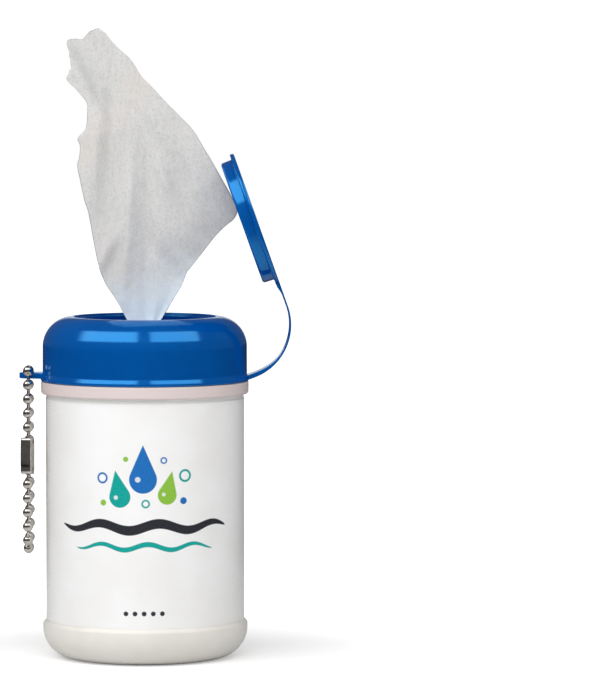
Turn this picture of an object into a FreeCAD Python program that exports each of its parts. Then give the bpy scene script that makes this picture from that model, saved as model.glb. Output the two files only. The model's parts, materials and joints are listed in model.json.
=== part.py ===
import FreeCAD, Part

import math
import os

import Sketcher

# Pocket dispenser of wet wipes: a moulded canister with a wrapped label, a push-on lid whose
# strap carries a flip cap, a roll of wipes with one pulled up, and a ball chain on the lid's lug.
# Millimetres. The origin is at the middle of the face that it stands on, and +Z is up.
# The strap, the lug and the cap's swing lie along X, and -Y is the front.

doc = FreeCAD.newDocument("WipesDispenser")
sheet = doc.addObject("Spreadsheet::Sheet", "Sizes")

# Driving sizes, one cell each
driving = {
    # canister
    "panel_radius": 23.1,
    "panel_height": 52.3,
    "bulge_proud": 0.9,
    "bulge_land": 1.0,
    "shoulder_step": 0.2,
    "base_corner": 7.2,
    "foot_width": 2.4,
    "push_up": 1.0,
    "recess_run": 1.4,
    "canister_wall": 1.0,
    "ring_proud": 1.2,
    "ring_height": 2.5,
    "neck_setback": 0.8,
    "neck_height": 5.2,
    "rib_proud": 0.3,
    "rib_start": 1.6,
    "rib_length": 0.8,
    # label
    "label_thickness": 0.2,
    "label_clearance": 0.02,
    "label_margin": 0.15,
    # lid
    "lid_gap": 0.1,
    "lid_fit": 0.08,
    "lid_lead": 0.4,
    "lid_wall": 1.22,
    "lid_draft": 0.3,
    "lid_rim_proud": 0.2,
    "lid_rim_height": 1.3,
    "lid_height": 15.0,
    "lid_round": 7.0,
    "land_width": 0.3,
    "seat_width": 1.55,
    "seat_depth": 0.5,
    "well_depth": 4.7,
    "well_bevel": 1.0,
    "floor_thickness": 1.0,
    "orifice_clearance": 0.6,
    "slit_length": 3.1,
    "slit_width": 0.6,
    "slit_count": 6,
    "cut_overrun": 1.0,
    # lug for the chain
    "lug_hole_clearance": 0.15,
    "lug_hole_gap": 1.45,
    "lug_bar": 0.85,
    "lug_flare": 1.4,
    "lug_root_depth": 1.0,
    "lug_rise": 0.5,
    "lug_thickness": 1.4,
    # strap
    "strap_width": 7.0,
    "strap_radius": 13.17,
    "strap_root_out": 1.2,
    "strap_root_rise": 0.72,
    "strap_root_angle": 70.0,
    "strap_thin_angle": 30.0,
    "strap_root_thickness": 1.05,
    "strap_thickness": 0.45,
    "strap_root_sink": 0.9,
    "strap_straight": 5.5,
    "gusset_length": 2.6,
    "gusset_thickness": 0.9,
    "strap_gap": 0.05,
    # flip cap
    "cap_tilt_angle": 19.6,
    "flange_clearance": 0.4,
    "flange_thickness": 1.0,
    "flange_edge": 0.3,
    "flange_taper": 0.15,
    "plug_clearance": 0.15,
    "plug_draft": 0.1,
    "plug_depth": 2.7,
    "plug_wall": 1.0,
    "plug_bevel": 0.6,
    "seat_gap": 0.1,
    "press_travel": 3.3,
    # wipes
    "roll_clearance": 0.4,
    "roll_lift": 0.3,
    "roll_headroom": 18.5,
    "core_radius": 6.5,
    "stem_radius": 1.9,
    "stem_clearance": 0.4,
    "stem_drop": 16.0,
    "tail_wall": 0.8,
    "tail_foot_drop": 35.0,
    "tail_top_gap": 0.4,
    "core_clearance": 0.35,
    "sheet_cap_gap": 4.0,
    "sheet_corner_rise": 1.27,
    "sheet_fold": 3.2,
    "sheet_thickness": 0.9,
    # ball chain
    "bead_radius": 1.2,
    "bead_link": 0.9,
    "pin_radius": 0.32,
    "pin_gap": 0.03,
    "chain_angle": 0.8,
    "strand_gap": 0.2,
    "saddle_front_rise": 0.5,
    "saddle_back_rise": 0.45,
    "loop_radius": 4.85,
    "clasp_fit": 0.09,
    "clasp_inset": 0.11,
    "clasp_wall": 0.26,
    "clasp_end": 0.95,
    "clasp_reach": 1.05,
    "clasp_lip": 0.13,
    "clasp_seat_gap": 0.04,
    "clasp_angle": 20.0,
    "clasp_round": 0.45,
}

# The wipe's widest corner, as shares of its rise and of its width
sheet_corner_height_share = 0.399
sheet_corner_width_share = 0.547

# Sizes that follow from them
derived = {
    "bulge_radius": "panel_radius + bulge_proud",
    "bulge_shoulder": "base_corner + bulge_land",
    "bulge_top": "bulge_shoulder + bulge_proud - shoulder_step",
    "bulge_step": "panel_radius + shoulder_step",
    "bulge_inner": "bulge_radius - canister_wall",
    "panel_inner": "panel_radius - canister_wall",
    "panel_top": "bulge_top + panel_height",
    "ring_radius": "panel_radius + ring_proud",
    "ring_bottom": "panel_top + ring_proud",
    "ring_top": "ring_bottom + ring_height",
    "corner_centre": "bulge_radius - base_corner",
    "foot_radius": "corner_centre - foot_width",
    "recess_radius": "foot_radius - recess_run",
    "recess_ceiling": "push_up + canister_wall",
    "inner_corner": "base_corner - canister_wall",
    "inner_corner_x": "corner_centre + inner_corner * cos(45)",
    "inner_corner_z": "base_corner - inner_corner * sin(45)",
    "inner_corner_flat": "inner_corner * cos(22.5)",
    "inner_step": "bulge_top + (bulge_inner - panel_inner)",
    "neck_radius": "panel_radius - neck_setback",
    "neck_inner": "neck_radius - canister_wall",
    "neck_top": "ring_top + neck_height",
    "neck_inner_start": "panel_top + (panel_inner - neck_inner)",
    "rib_radius": "neck_radius + rib_proud",
    "rib_foot": "ring_top + rib_start",
    "rib_low": "rib_foot + rib_proud",
    "rib_high": "rib_low + rib_length",
    "rib_end": "rib_high + rib_proud",
    "label_inner": "panel_radius + label_clearance",
    "label_outer": "label_inner + label_thickness",
    "label_foot": "bulge_top + label_margin",
    "label_height": "panel_top - label_margin - label_foot",
    "lid_foot": "ring_top + lid_gap",
    "lid_bore": "rib_radius + lid_fit",
    "lid_lead_radius": "lid_bore + lid_lead",
    "lid_lead_top": "lid_foot + lid_lead",
    "lid_top_radius": "lid_bore + lid_wall",
    "lid_side_radius": "lid_top_radius + lid_draft",
    "lid_rim_radius": "lid_side_radius + lid_rim_proud",
    "lid_rim_top": "lid_foot + lid_rim_height",
    "lid_side_foot": "lid_rim_top + lid_rim_proud",
    "lid_top": "lid_foot + lid_height",
    "lid_round_start": "lid_top - lid_round",
    "lid_inner_round": "lid_round - lid_wall",
    "lid_ceiling": "lid_round_start + lid_inner_round",
    "land_radius": "lid_top_radius - lid_round",
    "lid_inner_x": "land_radius + lid_inner_round * sin(45)",
    "lid_inner_z": "lid_round_start + lid_inner_round * cos(45)",
    "seat_radius": "land_radius - land_width",
    "seat_height": "lid_top - seat_depth",
    "well_radius": "seat_radius - seat_width",
    "well_floor": "lid_top - well_depth",
    "well_wall_foot": "well_floor + well_bevel",
    "well_floor_radius": "well_radius - well_bevel",
    "well_underside": "well_floor - floor_thickness",
    "well_outer": "well_radius + floor_thickness",
    "floor_cut_top": "well_floor + cut_overrun",
    "floor_cut_depth": "floor_thickness + 2 * cut_overrun",
    "orifice_radius": "stem_radius + orifice_clearance",
    "slit_half_width": "slit_width / 2",
    "slit_low": "-slit_half_width",
    "slit_start": "orifice_radius - slit_width",
    "slit_reach": "orifice_radius + slit_length",
    "lug_hole_radius": "bead_radius + lug_hole_clearance",
    "lug_end_radius": "lug_hole_radius + lug_bar",
    "lug_hole_place": "-(lid_rim_radius + lug_hole_gap + lug_hole_radius)",
    "lug_tip": "lug_hole_place - lug_end_radius",
    "lug_foot": "lid_foot + lug_rise",
    "lug_cut_top": "lug_foot + lug_thickness + cut_overrun",
    "lug_cut_depth": "lug_thickness + 2 * cut_overrun",
    "lug_low_side": "-lug_end_radius",
    "lug_root_place": "lug_root_depth - lid_rim_radius",
    "lug_root_side": "lug_end_radius + lug_flare",
    "lug_root_low": "-lug_root_side",
    "root_x": "lid_rim_radius + strap_root_out",
    "root_z": "lid_foot + strap_root_rise",
    "strap_centre_x": "root_x - strap_radius * cos(strap_root_angle)",
    "strap_centre_z": "root_z + strap_radius * sin(strap_root_angle)",
    "strap_root_inner": "strap_radius - strap_root_thickness",
    "strap_thin_inner": "strap_radius - strap_thickness",
    "strap_taper_radius": "(strap_root_inner + strap_thin_inner) / 2",
    "root_inner_x": "strap_centre_x + strap_root_inner * cos(strap_root_angle)",
    "root_inner_z": "strap_centre_z - strap_root_inner * sin(strap_root_angle)",
    "thin_x": "strap_centre_x + strap_thin_inner * cos(strap_thin_angle)",
    "thin_z": "strap_centre_z - strap_thin_inner * sin(strap_thin_angle)",
    "bend_x": "strap_centre_x + strap_radius * cos(cap_tilt_angle)",
    "bend_z": "strap_centre_z + strap_radius * sin(cap_tilt_angle)",
    "bend_inner_x": "strap_centre_x + strap_thin_inner * cos(cap_tilt_angle)",
    "bend_inner_z": "strap_centre_z + strap_thin_inner * sin(cap_tilt_angle)",
    "stub_x": "lid_rim_radius - strap_root_sink",
    "stub_foot": "root_z - (root_x - stub_x) / tan(strap_root_angle)",
    "stub_top": "root_inner_z - (root_inner_x - stub_x) / tan(strap_root_angle)",
    "cap_opening_angle": "90 - cap_tilt_angle",
    "flange_radius": "seat_radius - flange_clearance",
    "cap_arm": "flange_radius + strap_straight",
    "cap_x": "bend_x - cap_arm * sin(cap_tilt_angle)",
    "cap_z": "bend_z + cap_arm * cos(cap_tilt_angle)",
    "tip_start": "flange_radius - gusset_length",
    "tip_cut": "flange_radius + strap_gap",
    "relief_depth": "gusset_thickness + 2 * cut_overrun",
    "gusset_end": "flange_radius + gusset_length",
    "strap_underside": "-strap_thickness",
    "gusset_underside": "-gusset_thickness",
    "flange_flat": "flange_radius - flange_edge",
    "flange_edge_low": "-flange_edge",
    "flange_low": "-flange_thickness",
    "flange_low_radius": "flange_radius - flange_taper",
    "plug_root": "well_radius - plug_clearance",
    "plug_radius": "plug_root - plug_draft",
    "plug_low": "-(flange_thickness + plug_depth)",
    "plug_bevel_top": "plug_low + plug_bevel",
    "plug_bevel_in": "plug_radius - plug_bevel",
    "plug_inner": "plug_radius - plug_wall",
    "roll_radius": "neck_inner - roll_clearance",
    "roll_rim": "roll_radius + roll_lift - corner_centre",
    "roll_foot": "base_corner - sqrt(inner_corner_flat^2 - roll_rim^2)",
    "roll_top": "well_underside - roll_headroom",
    "roll_height": "roll_top - roll_foot",
    "stem_foot": "well_floor - stem_drop",
    "sheet_rise": "(cap_z + sheet_corner_rise - well_floor) / %s" % sheet_corner_height_share,
    "sheet_width": "(cap_x - sheet_cap_gap) / %s" % sheet_corner_width_share,
    "bead_pitch": "2 * bead_radius + bead_link",
    "clasp_width": "2 * (bead_radius - clasp_inset + clasp_wall)",
}

for row, (alias, value) in enumerate({**driving, **derived}.items(), start=1):
    cell = "B%d" % row
    sheet.set("A%d" % row, alias)
    sheet.set(cell, str(value) if alias in driving else "=" + value)
    sheet.setAlias(cell, alias)
doc.recompute()


def size(alias):
    return float(getattr(sheet, alias))


def place(alias):
    """The value of a corner's alias, where an empty one is zero."""
    return size(alias) if alias else 0.0


def bind(obj, **links):
    for prop, alias in links.items():
        obj.setExpression(prop.replace("__", "."), "Sizes." + alias)


def origin_plane(body, role):
    return [f for f in body.Origin.OriginFeatures if f.Role == role][0]


def new_sketch(body, name, role, height=None):
    sketch = body.newObject("Sketcher::SketchObject", name)
    sketch.AttachmentSupport = (origin_plane(body, role), [""])
    sketch.MapMode = "FlatFace"
    if height:
        sketch.setExpression("AttachmentOffset.Base.z", "Sizes." + height)
    return sketch


def arc_edge(start, end, radius, turn):
    """An arc from start to end, turning left where turn is 1 and right where it is -1."""
    chord = end - start
    middle = (start + end) * 0.5
    sagitta = math.sqrt(max(radius**2 - (chord.Length / 2) ** 2, 0.0))
    side = FreeCAD.Vector(-chord.y, chord.x, 0).normalize() * sagitta * turn
    centre = middle + side
    circle = Part.Circle(centre, FreeCAD.Vector(0, 0, 1), radius)
    first, last = (start, end) if turn == 1 else (end, start)
    angle_a = math.atan2(first.y - centre.y, first.x - centre.x)
    angle_b = math.atan2(last.y - centre.y, last.x - centre.x)
    if angle_b < angle_a:
        angle_b += 2 * math.pi
    return Part.ArcOfCircle(circle, angle_a, angle_b)


def draw_outline(sketch, corners):
    """A closed outline. Each corner is (across, up), as aliases with an empty one for zero,
    and an arc to the next corner adds (radius, turn)."""
    points = [FreeCAD.Vector(place(c[0]), place(c[1]), 0) for c in corners]
    count = len(corners)
    ends = []
    for i, corner in enumerate(corners):
        start, end = points[i], points[(i + 1) % count]
        if len(corner) == 4:
            edge = sketch.addGeometry(arc_edge(start, end, size(corner[2]), corner[3]), False)
            ends.append((edge, 1, 2) if corner[3] == 1 else (edge, 2, 1))
        else:
            edge = sketch.addGeometry(Part.LineSegment(start, end), False)
            ends.append((edge, 1, 2))
    for i in range(count):
        edge, _, last = ends[i]
        following, first, _ = ends[(i + 1) % count]
        sketch.addConstraint(Sketcher.Constraint("Coincident", edge, last, following, first))
    for i, corner in enumerate(corners):
        edge, first, _ = ends[i]
        for kind, axis, alias in (("DistanceX", -2, corner[0]), ("DistanceY", -1, corner[1])):
            if not alias:
                sketch.addConstraint(Sketcher.Constraint("PointOnObject", edge, first, axis))
                continue
            index = sketch.addConstraint(
                Sketcher.Constraint(kind, -1, 1, edge, first, size(alias))
            )
            sketch.setExpression("Constraints[%d]" % index, "Sizes." + alias)
        if len(corner) == 4:
            index = sketch.addConstraint(Sketcher.Constraint("Radius", edge, size(corner[2])))
            sketch.setExpression("Constraints[%d]" % index, "Sizes." + corner[2])


def draw_circle(sketch, across, radius):
    centre = FreeCAD.Vector(place(across), 0, 0)
    circle = Part.Circle(centre, FreeCAD.Vector(0, 0, 1), size(radius))
    edge = sketch.addGeometry(circle, False)
    sketch.addConstraint(Sketcher.Constraint("PointOnObject", edge, 3, -1))
    if across:
        index = sketch.addConstraint(
            Sketcher.Constraint("DistanceX", -1, 1, edge, 3, size(across))
        )
        sketch.setExpression("Constraints[%d]" % index, "Sizes." + across)
    else:
        sketch.addConstraint(Sketcher.Constraint("PointOnObject", edge, 3, -2))
    index = sketch.addConstraint(Sketcher.Constraint("Radius", edge, size(radius)))
    sketch.setExpression("Constraints[%d]" % index, "Sizes." + radius)


def new_body(label):
    body = doc.addObject("PartDesign::Body", label)
    body.Label = label
    return body


def revolve(body, name, corners):
    sketch = new_sketch(body, name + "_profile", "XZ_Plane")
    draw_outline(sketch, corners)
    turned = body.newObject("PartDesign::Revolution", name)
    turned.Profile = sketch
    turned.ReferenceAxis = (sketch, ["V_Axis"])
    turned.Angle = 360
    doc.recompute()
    return turned


def pad_across(body, name, corners, width):
    """A side outline on the XZ plane, padded by half the width to each side."""
    sketch = new_sketch(body, name + "_profile", "XZ_Plane")
    draw_outline(sketch, corners)
    pad = body.newObject("PartDesign::Pad", name)
    pad.Profile = sketch
    pad.SideType = "Symmetric"
    bind(pad, Length=width)
    doc.recompute()
    return pad


def cut_down(body, name, sketch, depth):
    before = body.Shape.Volume
    cut = body.newObject("PartDesign::Pocket", name)
    cut.Profile = sketch
    bind(cut, Length=depth)
    doc.recompute()
    if not body.Shape.Volume < before:
        raise RuntimeError(name + " removed nothing")
    return cut


# Canister: one moulding, with a pushed-up base, a panel for the label and a neck with a rib
canister = new_body("canister_body")
revolve(
    canister,
    "canister_wall_turned",
    [
        ("", "push_up"),
        ("recess_radius", "push_up"),
        ("foot_radius", ""),
        ("corner_centre", "", "base_corner", 1),
        ("bulge_radius", "base_corner"),
        ("bulge_radius", "bulge_shoulder"),
        ("bulge_step", "bulge_top"),
        ("panel_radius", "bulge_top"),
        ("panel_radius", "panel_top"),
        ("ring_radius", "ring_bottom"),
        ("ring_radius", "ring_top"),
        ("neck_radius", "ring_top"),
        ("neck_radius", "rib_foot"),
        ("rib_radius", "rib_low"),
        ("rib_radius", "rib_high"),
        ("neck_radius", "rib_end"),
        ("neck_radius", "neck_top"),
        ("neck_inner", "neck_top"),
        ("neck_inner", "neck_inner_start"),
        ("panel_inner", "panel_top"),
        ("panel_inner", "inner_step"),
        ("bulge_inner", "bulge_top"),
        ("bulge_inner", "base_corner"),
        ("inner_corner_x", "inner_corner_z"),
        ("corner_centre", "canister_wall"),
        ("foot_radius", "canister_wall"),
        ("recess_radius", "recess_ceiling"),
        ("", "recess_ceiling"),
    ],
)


def ring_part(label, outer, inner, height, foot):
    """A plain ring as one cylinder cut from another, bound to the sheet."""
    cylinders = []
    for part, radius in (("_outer", outer), ("_inner", inner)):
        cylinder = doc.addObject("Part::Cylinder", label + part)
        bind(cylinder, Radius=radius, Height=height, Placement__Base__z=foot)
        cylinders.append(cylinder)
    cut = doc.addObject("Part::Cut", label)
    cut.Base, cut.Tool = cylinders
    cut.Label = label
    return cut


label = ring_part("label_sleeve", "label_outer", "label_inner", "label_height", "label_foot")
roll = ring_part("wipe_roll", "roll_radius", "core_radius", "roll_height", "roll_foot")

# Lid: skirt, round shoulder, seat and well in one turned wall, then the lug and the strap's root
lid = new_body("lid_shell")
revolve(
    lid,
    "lid_wall_turned",
    [
        ("lid_lead_radius", "lid_foot"),
        ("lid_rim_radius", "lid_foot"),
        ("lid_rim_radius", "lid_rim_top"),
        ("lid_side_radius", "lid_side_foot"),
        ("lid_top_radius", "lid_round_start", "lid_round", 1),
        ("land_radius", "lid_top"),
        ("seat_radius", "lid_top"),
        ("seat_radius", "seat_height"),
        ("well_radius", "seat_height"),
        ("well_radius", "well_wall_foot"),
        ("well_floor_radius", "well_floor"),
        ("", "well_floor"),
        ("", "well_underside"),
        ("well_outer", "well_underside"),
        ("well_outer", "lid_ceiling"),
        ("land_radius", "lid_ceiling"),
        ("lid_inner_x", "lid_inner_z"),
        ("lid_bore", "lid_round_start"),
        ("lid_bore", "lid_lead_top"),
    ],
)

lug_sketch = new_sketch(lid, "lug_outline", "XY_Plane", "lug_foot")
draw_outline(
    lug_sketch,
    [
        ("lug_root_place", "lug_root_side"),
        ("lug_hole_place", "lug_end_radius", "lug_end_radius", 1),
        ("lug_tip", "", "lug_end_radius", 1),
        ("lug_hole_place", "lug_low_side"),
        ("lug_root_place", "lug_root_low"),
    ],
)
lug = lid.newObject("PartDesign::Pad", "chain_lug")
lug.Profile = lug_sketch
bind(lug, Length="lug_thickness")
doc.recompute()

pad_across(
    lid,
    "strap_root",
    [
        ("stub_x", "stub_foot"),
        ("root_x", "root_z"),
        ("root_inner_x", "root_inner_z"),
        ("stub_x", "stub_top"),
    ],
    "strap_width",
)

hole_sketch = new_sketch(lid, "lug_hole_circle", "XY_Plane", "lug_cut_top")
draw_circle(hole_sketch, "lug_hole_place", "lug_hole_radius")
cut_down(lid, "lug_hole", hole_sketch, "lug_cut_depth")

orifice_sketch = new_sketch(lid, "orifice_circle", "XY_Plane", "floor_cut_top")
draw_circle(orifice_sketch, "", "orifice_radius")
cut_down(lid, "orifice", orifice_sketch, "floor_cut_depth")

slit_sketch = new_sketch(lid, "slit_outline", "XY_Plane", "floor_cut_top")
draw_outline(
    slit_sketch,
    [
        ("slit_start", "slit_low"),
        ("slit_reach", "slit_low"),
        ("slit_reach", "slit_half_width"),
        ("slit_start", "slit_half_width"),
    ],
)
slit = cut_down(lid, "slit", slit_sketch, "floor_cut_depth")
slits = lid.newObject("PartDesign::PolarPattern", "slits")
slits.Originals = [slit]
slits.Axis = (slit_sketch, ["N_Axis"])
slits.Angle = 360
slits.setExpression("Occurrences", "Sizes.slit_count")
lid.Tip = slits
doc.recompute()

# Strap: a thin band that bends, thick where it leaves the lid
strap = new_body("strap")
pad_across(
    strap,
    "strap_band",
    [
        ("root_x", "root_z", "strap_radius", 1),
        ("bend_x", "bend_z"),
        ("bend_inner_x", "bend_inner_z", "strap_thin_inner", -1),
        ("thin_x", "thin_z", "strap_taper_radius", -1),
        ("root_inner_x", "root_inner_z"),
    ],
    "strap_width",
)


def tilt_with_cap(body):
    """The cap and the strap's tip are drawn flat, then stood open at the cap's tilt."""
    body.Placement = FreeCAD.Placement(
        FreeCAD.Vector(size("cap_x"), 0, size("cap_z")),
        FreeCAD.Rotation(FreeCAD.Vector(0, 1, 0), size("cap_opening_angle")),
    )
    bind(
        body,
        Placement__Base__x="cap_x",
        Placement__Base__z="cap_z",
        Placement__Rotation__Angle="cap_opening_angle",
    )


# Strap tip: the straight end, with a gusset that meets the flange
tip = new_body("strap_tip")
pad_across(
    tip,
    "tip_band",
    [
        ("tip_start", ""),
        ("tip_start", "gusset_underside"),
        ("flange_radius", "gusset_underside"),
        ("gusset_end", "strap_underside"),
        ("cap_arm", "strap_underside"),
        ("cap_arm", ""),
    ],
    "strap_width",
)
tip_sketch = new_sketch(tip, "flange_circle", "XY_Plane", "cut_overrun")
draw_circle(tip_sketch, "", "tip_cut")
cut_down(tip, "flange_relief", tip_sketch, "relief_depth")
tilt_with_cap(tip)

# Flip cap: a flat flange with the plug ring that closes the well
cap = new_body("flip_cap")
revolve(
    cap,
    "cap_turned",
    [
        ("", ""),
        ("flange_flat", ""),
        ("flange_radius", "flange_edge_low"),
        ("flange_low_radius", "flange_low"),
        ("plug_root", "flange_low"),
        ("plug_radius", "plug_bevel_top"),
        ("plug_bevel_in", "plug_low"),
        ("plug_inner", "plug_low"),
        ("plug_inner", "flange_low"),
        ("", "flange_low"),
    ],
)
tilt_with_cap(cap)


def feature(label, shape):
    obj = doc.addObject("Part::Feature", label)
    obj.Shape = shape
    obj.Label = label
    return obj


def loop_of(points):
    return Part.Wire(Part.makePolygon(points + points[:1]))


# Wipe that stands out of the orifice: a gathered stem that opens into a folded sheet.
# Each row: the height and the two side edges as shares, then the fold's share.
sheet_shares = [
    (0.051, -0.101, 0.089, 0.45),
    (0.117, -0.165, 0.158, 0.60),
    (0.230, -0.266, 0.276, 0.85),
    (0.308, -0.296, 0.384, 0.95),
    (sheet_corner_height_share, -0.323, sheet_corner_width_share, 1.00),
    (0.499, -0.369, 0.453, 0.95),
    (0.610, -0.372, 0.342, 0.80),
    (0.713, -0.330, 0.217, 0.65),
    (0.810, -0.392, 0.057, 0.50),
    (0.879, -0.424, -0.054, 0.40),
    (0.956, -0.446, -0.192, 0.30),
    (1.000, -0.330, -0.230, 0.20),
]
pleat_shares = [0.0, 1.0, -0.6, 0.8, -1.0, 0.5, 0.0]


def pleated_section(height, left, right, fold, thickness):
    """One level of the sheet: a zigzag ribbon from its left edge to its right edge."""
    count = len(pleat_shares) - 1
    across = [left + (right - left) * i / count for i in range(count + 1)]
    depth = [fold * share for share in pleat_shares]
    front = [FreeCAD.Vector(x, y - thickness / 2, height) for x, y in zip(across, depth)]
    back = [FreeCAD.Vector(x, y + thickness / 2, height) for x, y in zip(across, depth)]
    return loop_of(front + back[::-1])


floor_z = size("well_floor")
stem = size("stem_radius")
thick = size("sheet_thickness")
stem_half_width = stem - thick / 2
stem_fold = stem - thick
sections = [
    pleated_section(z, -stem_half_width, stem_half_width, stem_fold, thick)
    for z in (size("stem_foot"), floor_z)
]
for rise_share, left_share, right_share, fold_share in sheet_shares:
    sections.append(
        pleated_section(
            floor_z + size("sheet_rise") * rise_share,
            size("sheet_width") * left_share,
            size("sheet_width") * right_share,
            size("sheet_fold") * fold_share,
            thick,
        )
    )
sheet_solid = Part.makeLoft(sections, True, True)
wipe = feature("wipe_sheet", sheet_solid)

# Tail: the next wipe, gathered as a fluted sleeve from the roll's core up to the lid's floor
tail_flute_count = 6
tail_flute_share = 0.86
tail_ring_angle = 16.0
tail_height_shares = [0.0, 0.45, 0.75, 1.0]


def fluted_ring(height, radius, turn):
    points = []
    for i in range(2 * tail_flute_count):
        angle = math.radians(turn + 180.0 * i / tail_flute_count)
        reach = radius * (tail_flute_share if i % 2 else 1.0)
        points.append(FreeCAD.Vector(reach * math.cos(angle), reach * math.sin(angle), height))
    return loop_of(points)


bore = stem + size("stem_clearance")
tail_foot = floor_z - size("tail_foot_drop")
tail_top = size("well_underside") - size("tail_top_gap")
tail_low_radius = size("core_radius") - size("core_clearance")
tail_high_radius = (bore + size("tail_wall")) / tail_flute_share
rings = []
for i, share in enumerate(tail_height_shares):
    radius = tail_low_radius + (tail_high_radius - tail_low_radius) * share
    rings.append(
        fluted_ring(tail_foot + (tail_top - tail_foot) * share, radius, tail_ring_angle * i)
    )
overrun = size("cut_overrun")
bore_solid = Part.makeCylinder(
    bore, tail_top - tail_foot + 2 * overrun, FreeCAD.Vector(0, 0, tail_foot - overrun)
)
tail = feature("wipe_tail", Part.makeLoft(rings, True, True).cut(bore_solid))

# Ball chain: a closed loop through the lug's hole and round the bar in front of it.
# Places are worked out in the loop's own plane: forward is from the hole to the front strand.
bead = size("bead_radius")
pitch = size("bead_pitch")
pin_radius = size("pin_radius")
hole = FreeCAD.Vector(size("lug_hole_place"), 0, 0)
turn = math.radians(size("chain_angle"))
forward = FreeCAD.Vector(-math.sin(turn), -math.cos(turn), 0)
sideways = FreeCAD.Vector(math.cos(turn), -math.sin(turn), 0)
up = FreeCAD.Vector(0, 0, 1)
bar_half = (size("lug_end_radius") - size("lug_hole_radius")) / 2
bar_top = size("lug_foot") + size("lug_thickness")
bar = hole + forward * (size("lug_hole_radius") + bar_half)


def in_plane(ahead, height):
    return bar + forward * ahead + up * height


def spaced(start, end, count):
    """Beads one pitch apart from start towards end, start among them."""
    step = (end - start).normalize() * pitch
    return [start + step * i for i in range(count + 1)]


front_bead_count = 3
back_pitch_count = 10
lower_pitch_count = 3

# The two beads on top of the bar, then the first bead of each strand below it
front_top_rise = size("saddle_front_rise")
back_top_rise = size("saddle_back_rise")
near_edge = math.sqrt(bead**2 - front_top_rise**2) + size("pin_gap")
front_top = (bar_half + near_edge, bar_top + front_top_rise)
back_run = math.sqrt(pitch**2 - (back_top_rise - front_top_rise) ** 2)
back_top = (front_top[0] - back_run, bar_top + back_top_rise)
back_first_ahead = -(bar_half + size("lug_hole_radius"))
back_first_drop = math.sqrt(pitch**2 - (back_first_ahead - back_top[0]) ** 2)
back_first = (back_first_ahead, back_top[1] - back_first_drop)
front_first_ahead = bar_half + size("strand_gap") + bead
front_first_drop = math.sqrt(pitch**2 - (front_first_ahead - front_top[0]) ** 2)
front_first = (front_first_ahead, front_top[1] - front_first_drop)

# The round bottom: beads on an arc, two to each side of the lowest point
loop_radius = size("loop_radius")
half_step = math.asin(pitch / 2 / loop_radius)
bottom_angles = [half_step * (2 * i + 1) for i in range(3)]
last_ahead = loop_radius * math.sin(bottom_angles[2])
strand_length = pitch * back_pitch_count
strand_drop = math.sqrt(strand_length**2 - (last_ahead + back_first[0]) ** 2)
last_height = back_first[1] - strand_drop
loop_centre = last_height + loop_radius * math.cos(bottom_angles[2])

back_beads = spaced(in_plane(*back_first), in_plane(-last_ahead, last_height), back_pitch_count)
front_down = spaced(
    in_plane(*front_first), in_plane(last_ahead, last_height), front_bead_count + 1
)
front_up = spaced(
    in_plane(last_ahead, last_height), in_plane(*front_first), lower_pitch_count + 1
)
bottom_beads = [
    in_plane(side * loop_radius * math.sin(angle), loop_centre - loop_radius * math.cos(angle))
    for side, angle in ((1, bottom_angles[1]), (1, bottom_angles[0]))
]
bottom_beads += [
    in_plane(-loop_radius * math.sin(angle), loop_centre - loop_radius * math.cos(angle))
    for angle in bottom_angles[:2]
]

bead_side_count = 10
bead_ring_angles = [18.0, 54.0, 90.0, 126.0, 162.0]
pin_side_count = 6


def square_to(axis):
    """Two directions square to the axis and to each other."""
    first = axis.cross(sideways if abs(axis.dot(sideways)) < abs(axis.dot(forward)) else forward)
    first = first.normalize()
    return first, axis.cross(first).normalize()


def ring_points(centre, axis, radius, sides):
    first, second = square_to(axis)
    angles = [2 * math.pi * i / sides for i in range(sides)]
    return [centre + (first * math.cos(a) + second * math.sin(a)) * radius for a in angles]


def faceted_bead(centre, axis):
    """A ball of flat faces with a small flat at each pole, where a pin leaves it."""
    rings = []
    for degrees in bead_ring_angles:
        angle = math.radians(degrees)
        level = centre + axis * (bead * math.cos(angle))
        rings.append(ring_points(level, axis, bead * math.sin(angle), bead_side_count))
    faces = [Part.Face(loop_of(rings[0])), Part.Face(loop_of(rings[-1]))]
    for upper, lower in zip(rings, rings[1:]):
        for i in range(bead_side_count):
            j = (i + 1) % bead_side_count
            faces.append(Part.Face(loop_of([upper[i], upper[j], lower[j], lower[i]])))
    return Part.makeSolid(Part.makeShell(faces))


def link_pin(start, end):
    """The thin pin that shows between two beads."""
    axis = (end - start).normalize()
    reach = bead + size("pin_gap")
    length = (end - start).Length - 2 * reach
    outline = loop_of(ring_points(start + axis * reach, axis, pin_radius, pin_side_count))
    return Part.Face(outline).extrude(axis * length)


def neighbours_axis(i):
    return (loop[(i + 1) % len(loop)] - loop[i - 1]).normalize()


# The whole loop in order: down the front, round the bottom, up the back and over the bar
loop = front_down + front_up[::-1] + bottom_beads + back_beads[::-1]
loop += [in_plane(*back_top), in_plane(*front_top)]
clasp_start = len(front_down) - 1
front_pivot = clasp_start + 2
back_pivot = front_pivot + len(bottom_beads) + 2 * lower_pitch_count + 1
back_top_of_strand = back_pivot + back_pitch_count - lower_pitch_count
last = len(loop) - 1


def chain_nodes(name, bead_places, pin_places):
    beads = [faceted_bead(loop[i], neighbours_axis(i)) for i in bead_places]
    pins = [link_pin(loop[i], loop[(i + 1) % len(loop)]) for i in pin_places]
    feature(name + "_beads", Part.makeCompound(beads))
    feature(name + "_pins", Part.makeCompound(pins))


def span(start, end):
    return list(range(start, end + 1))


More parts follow.
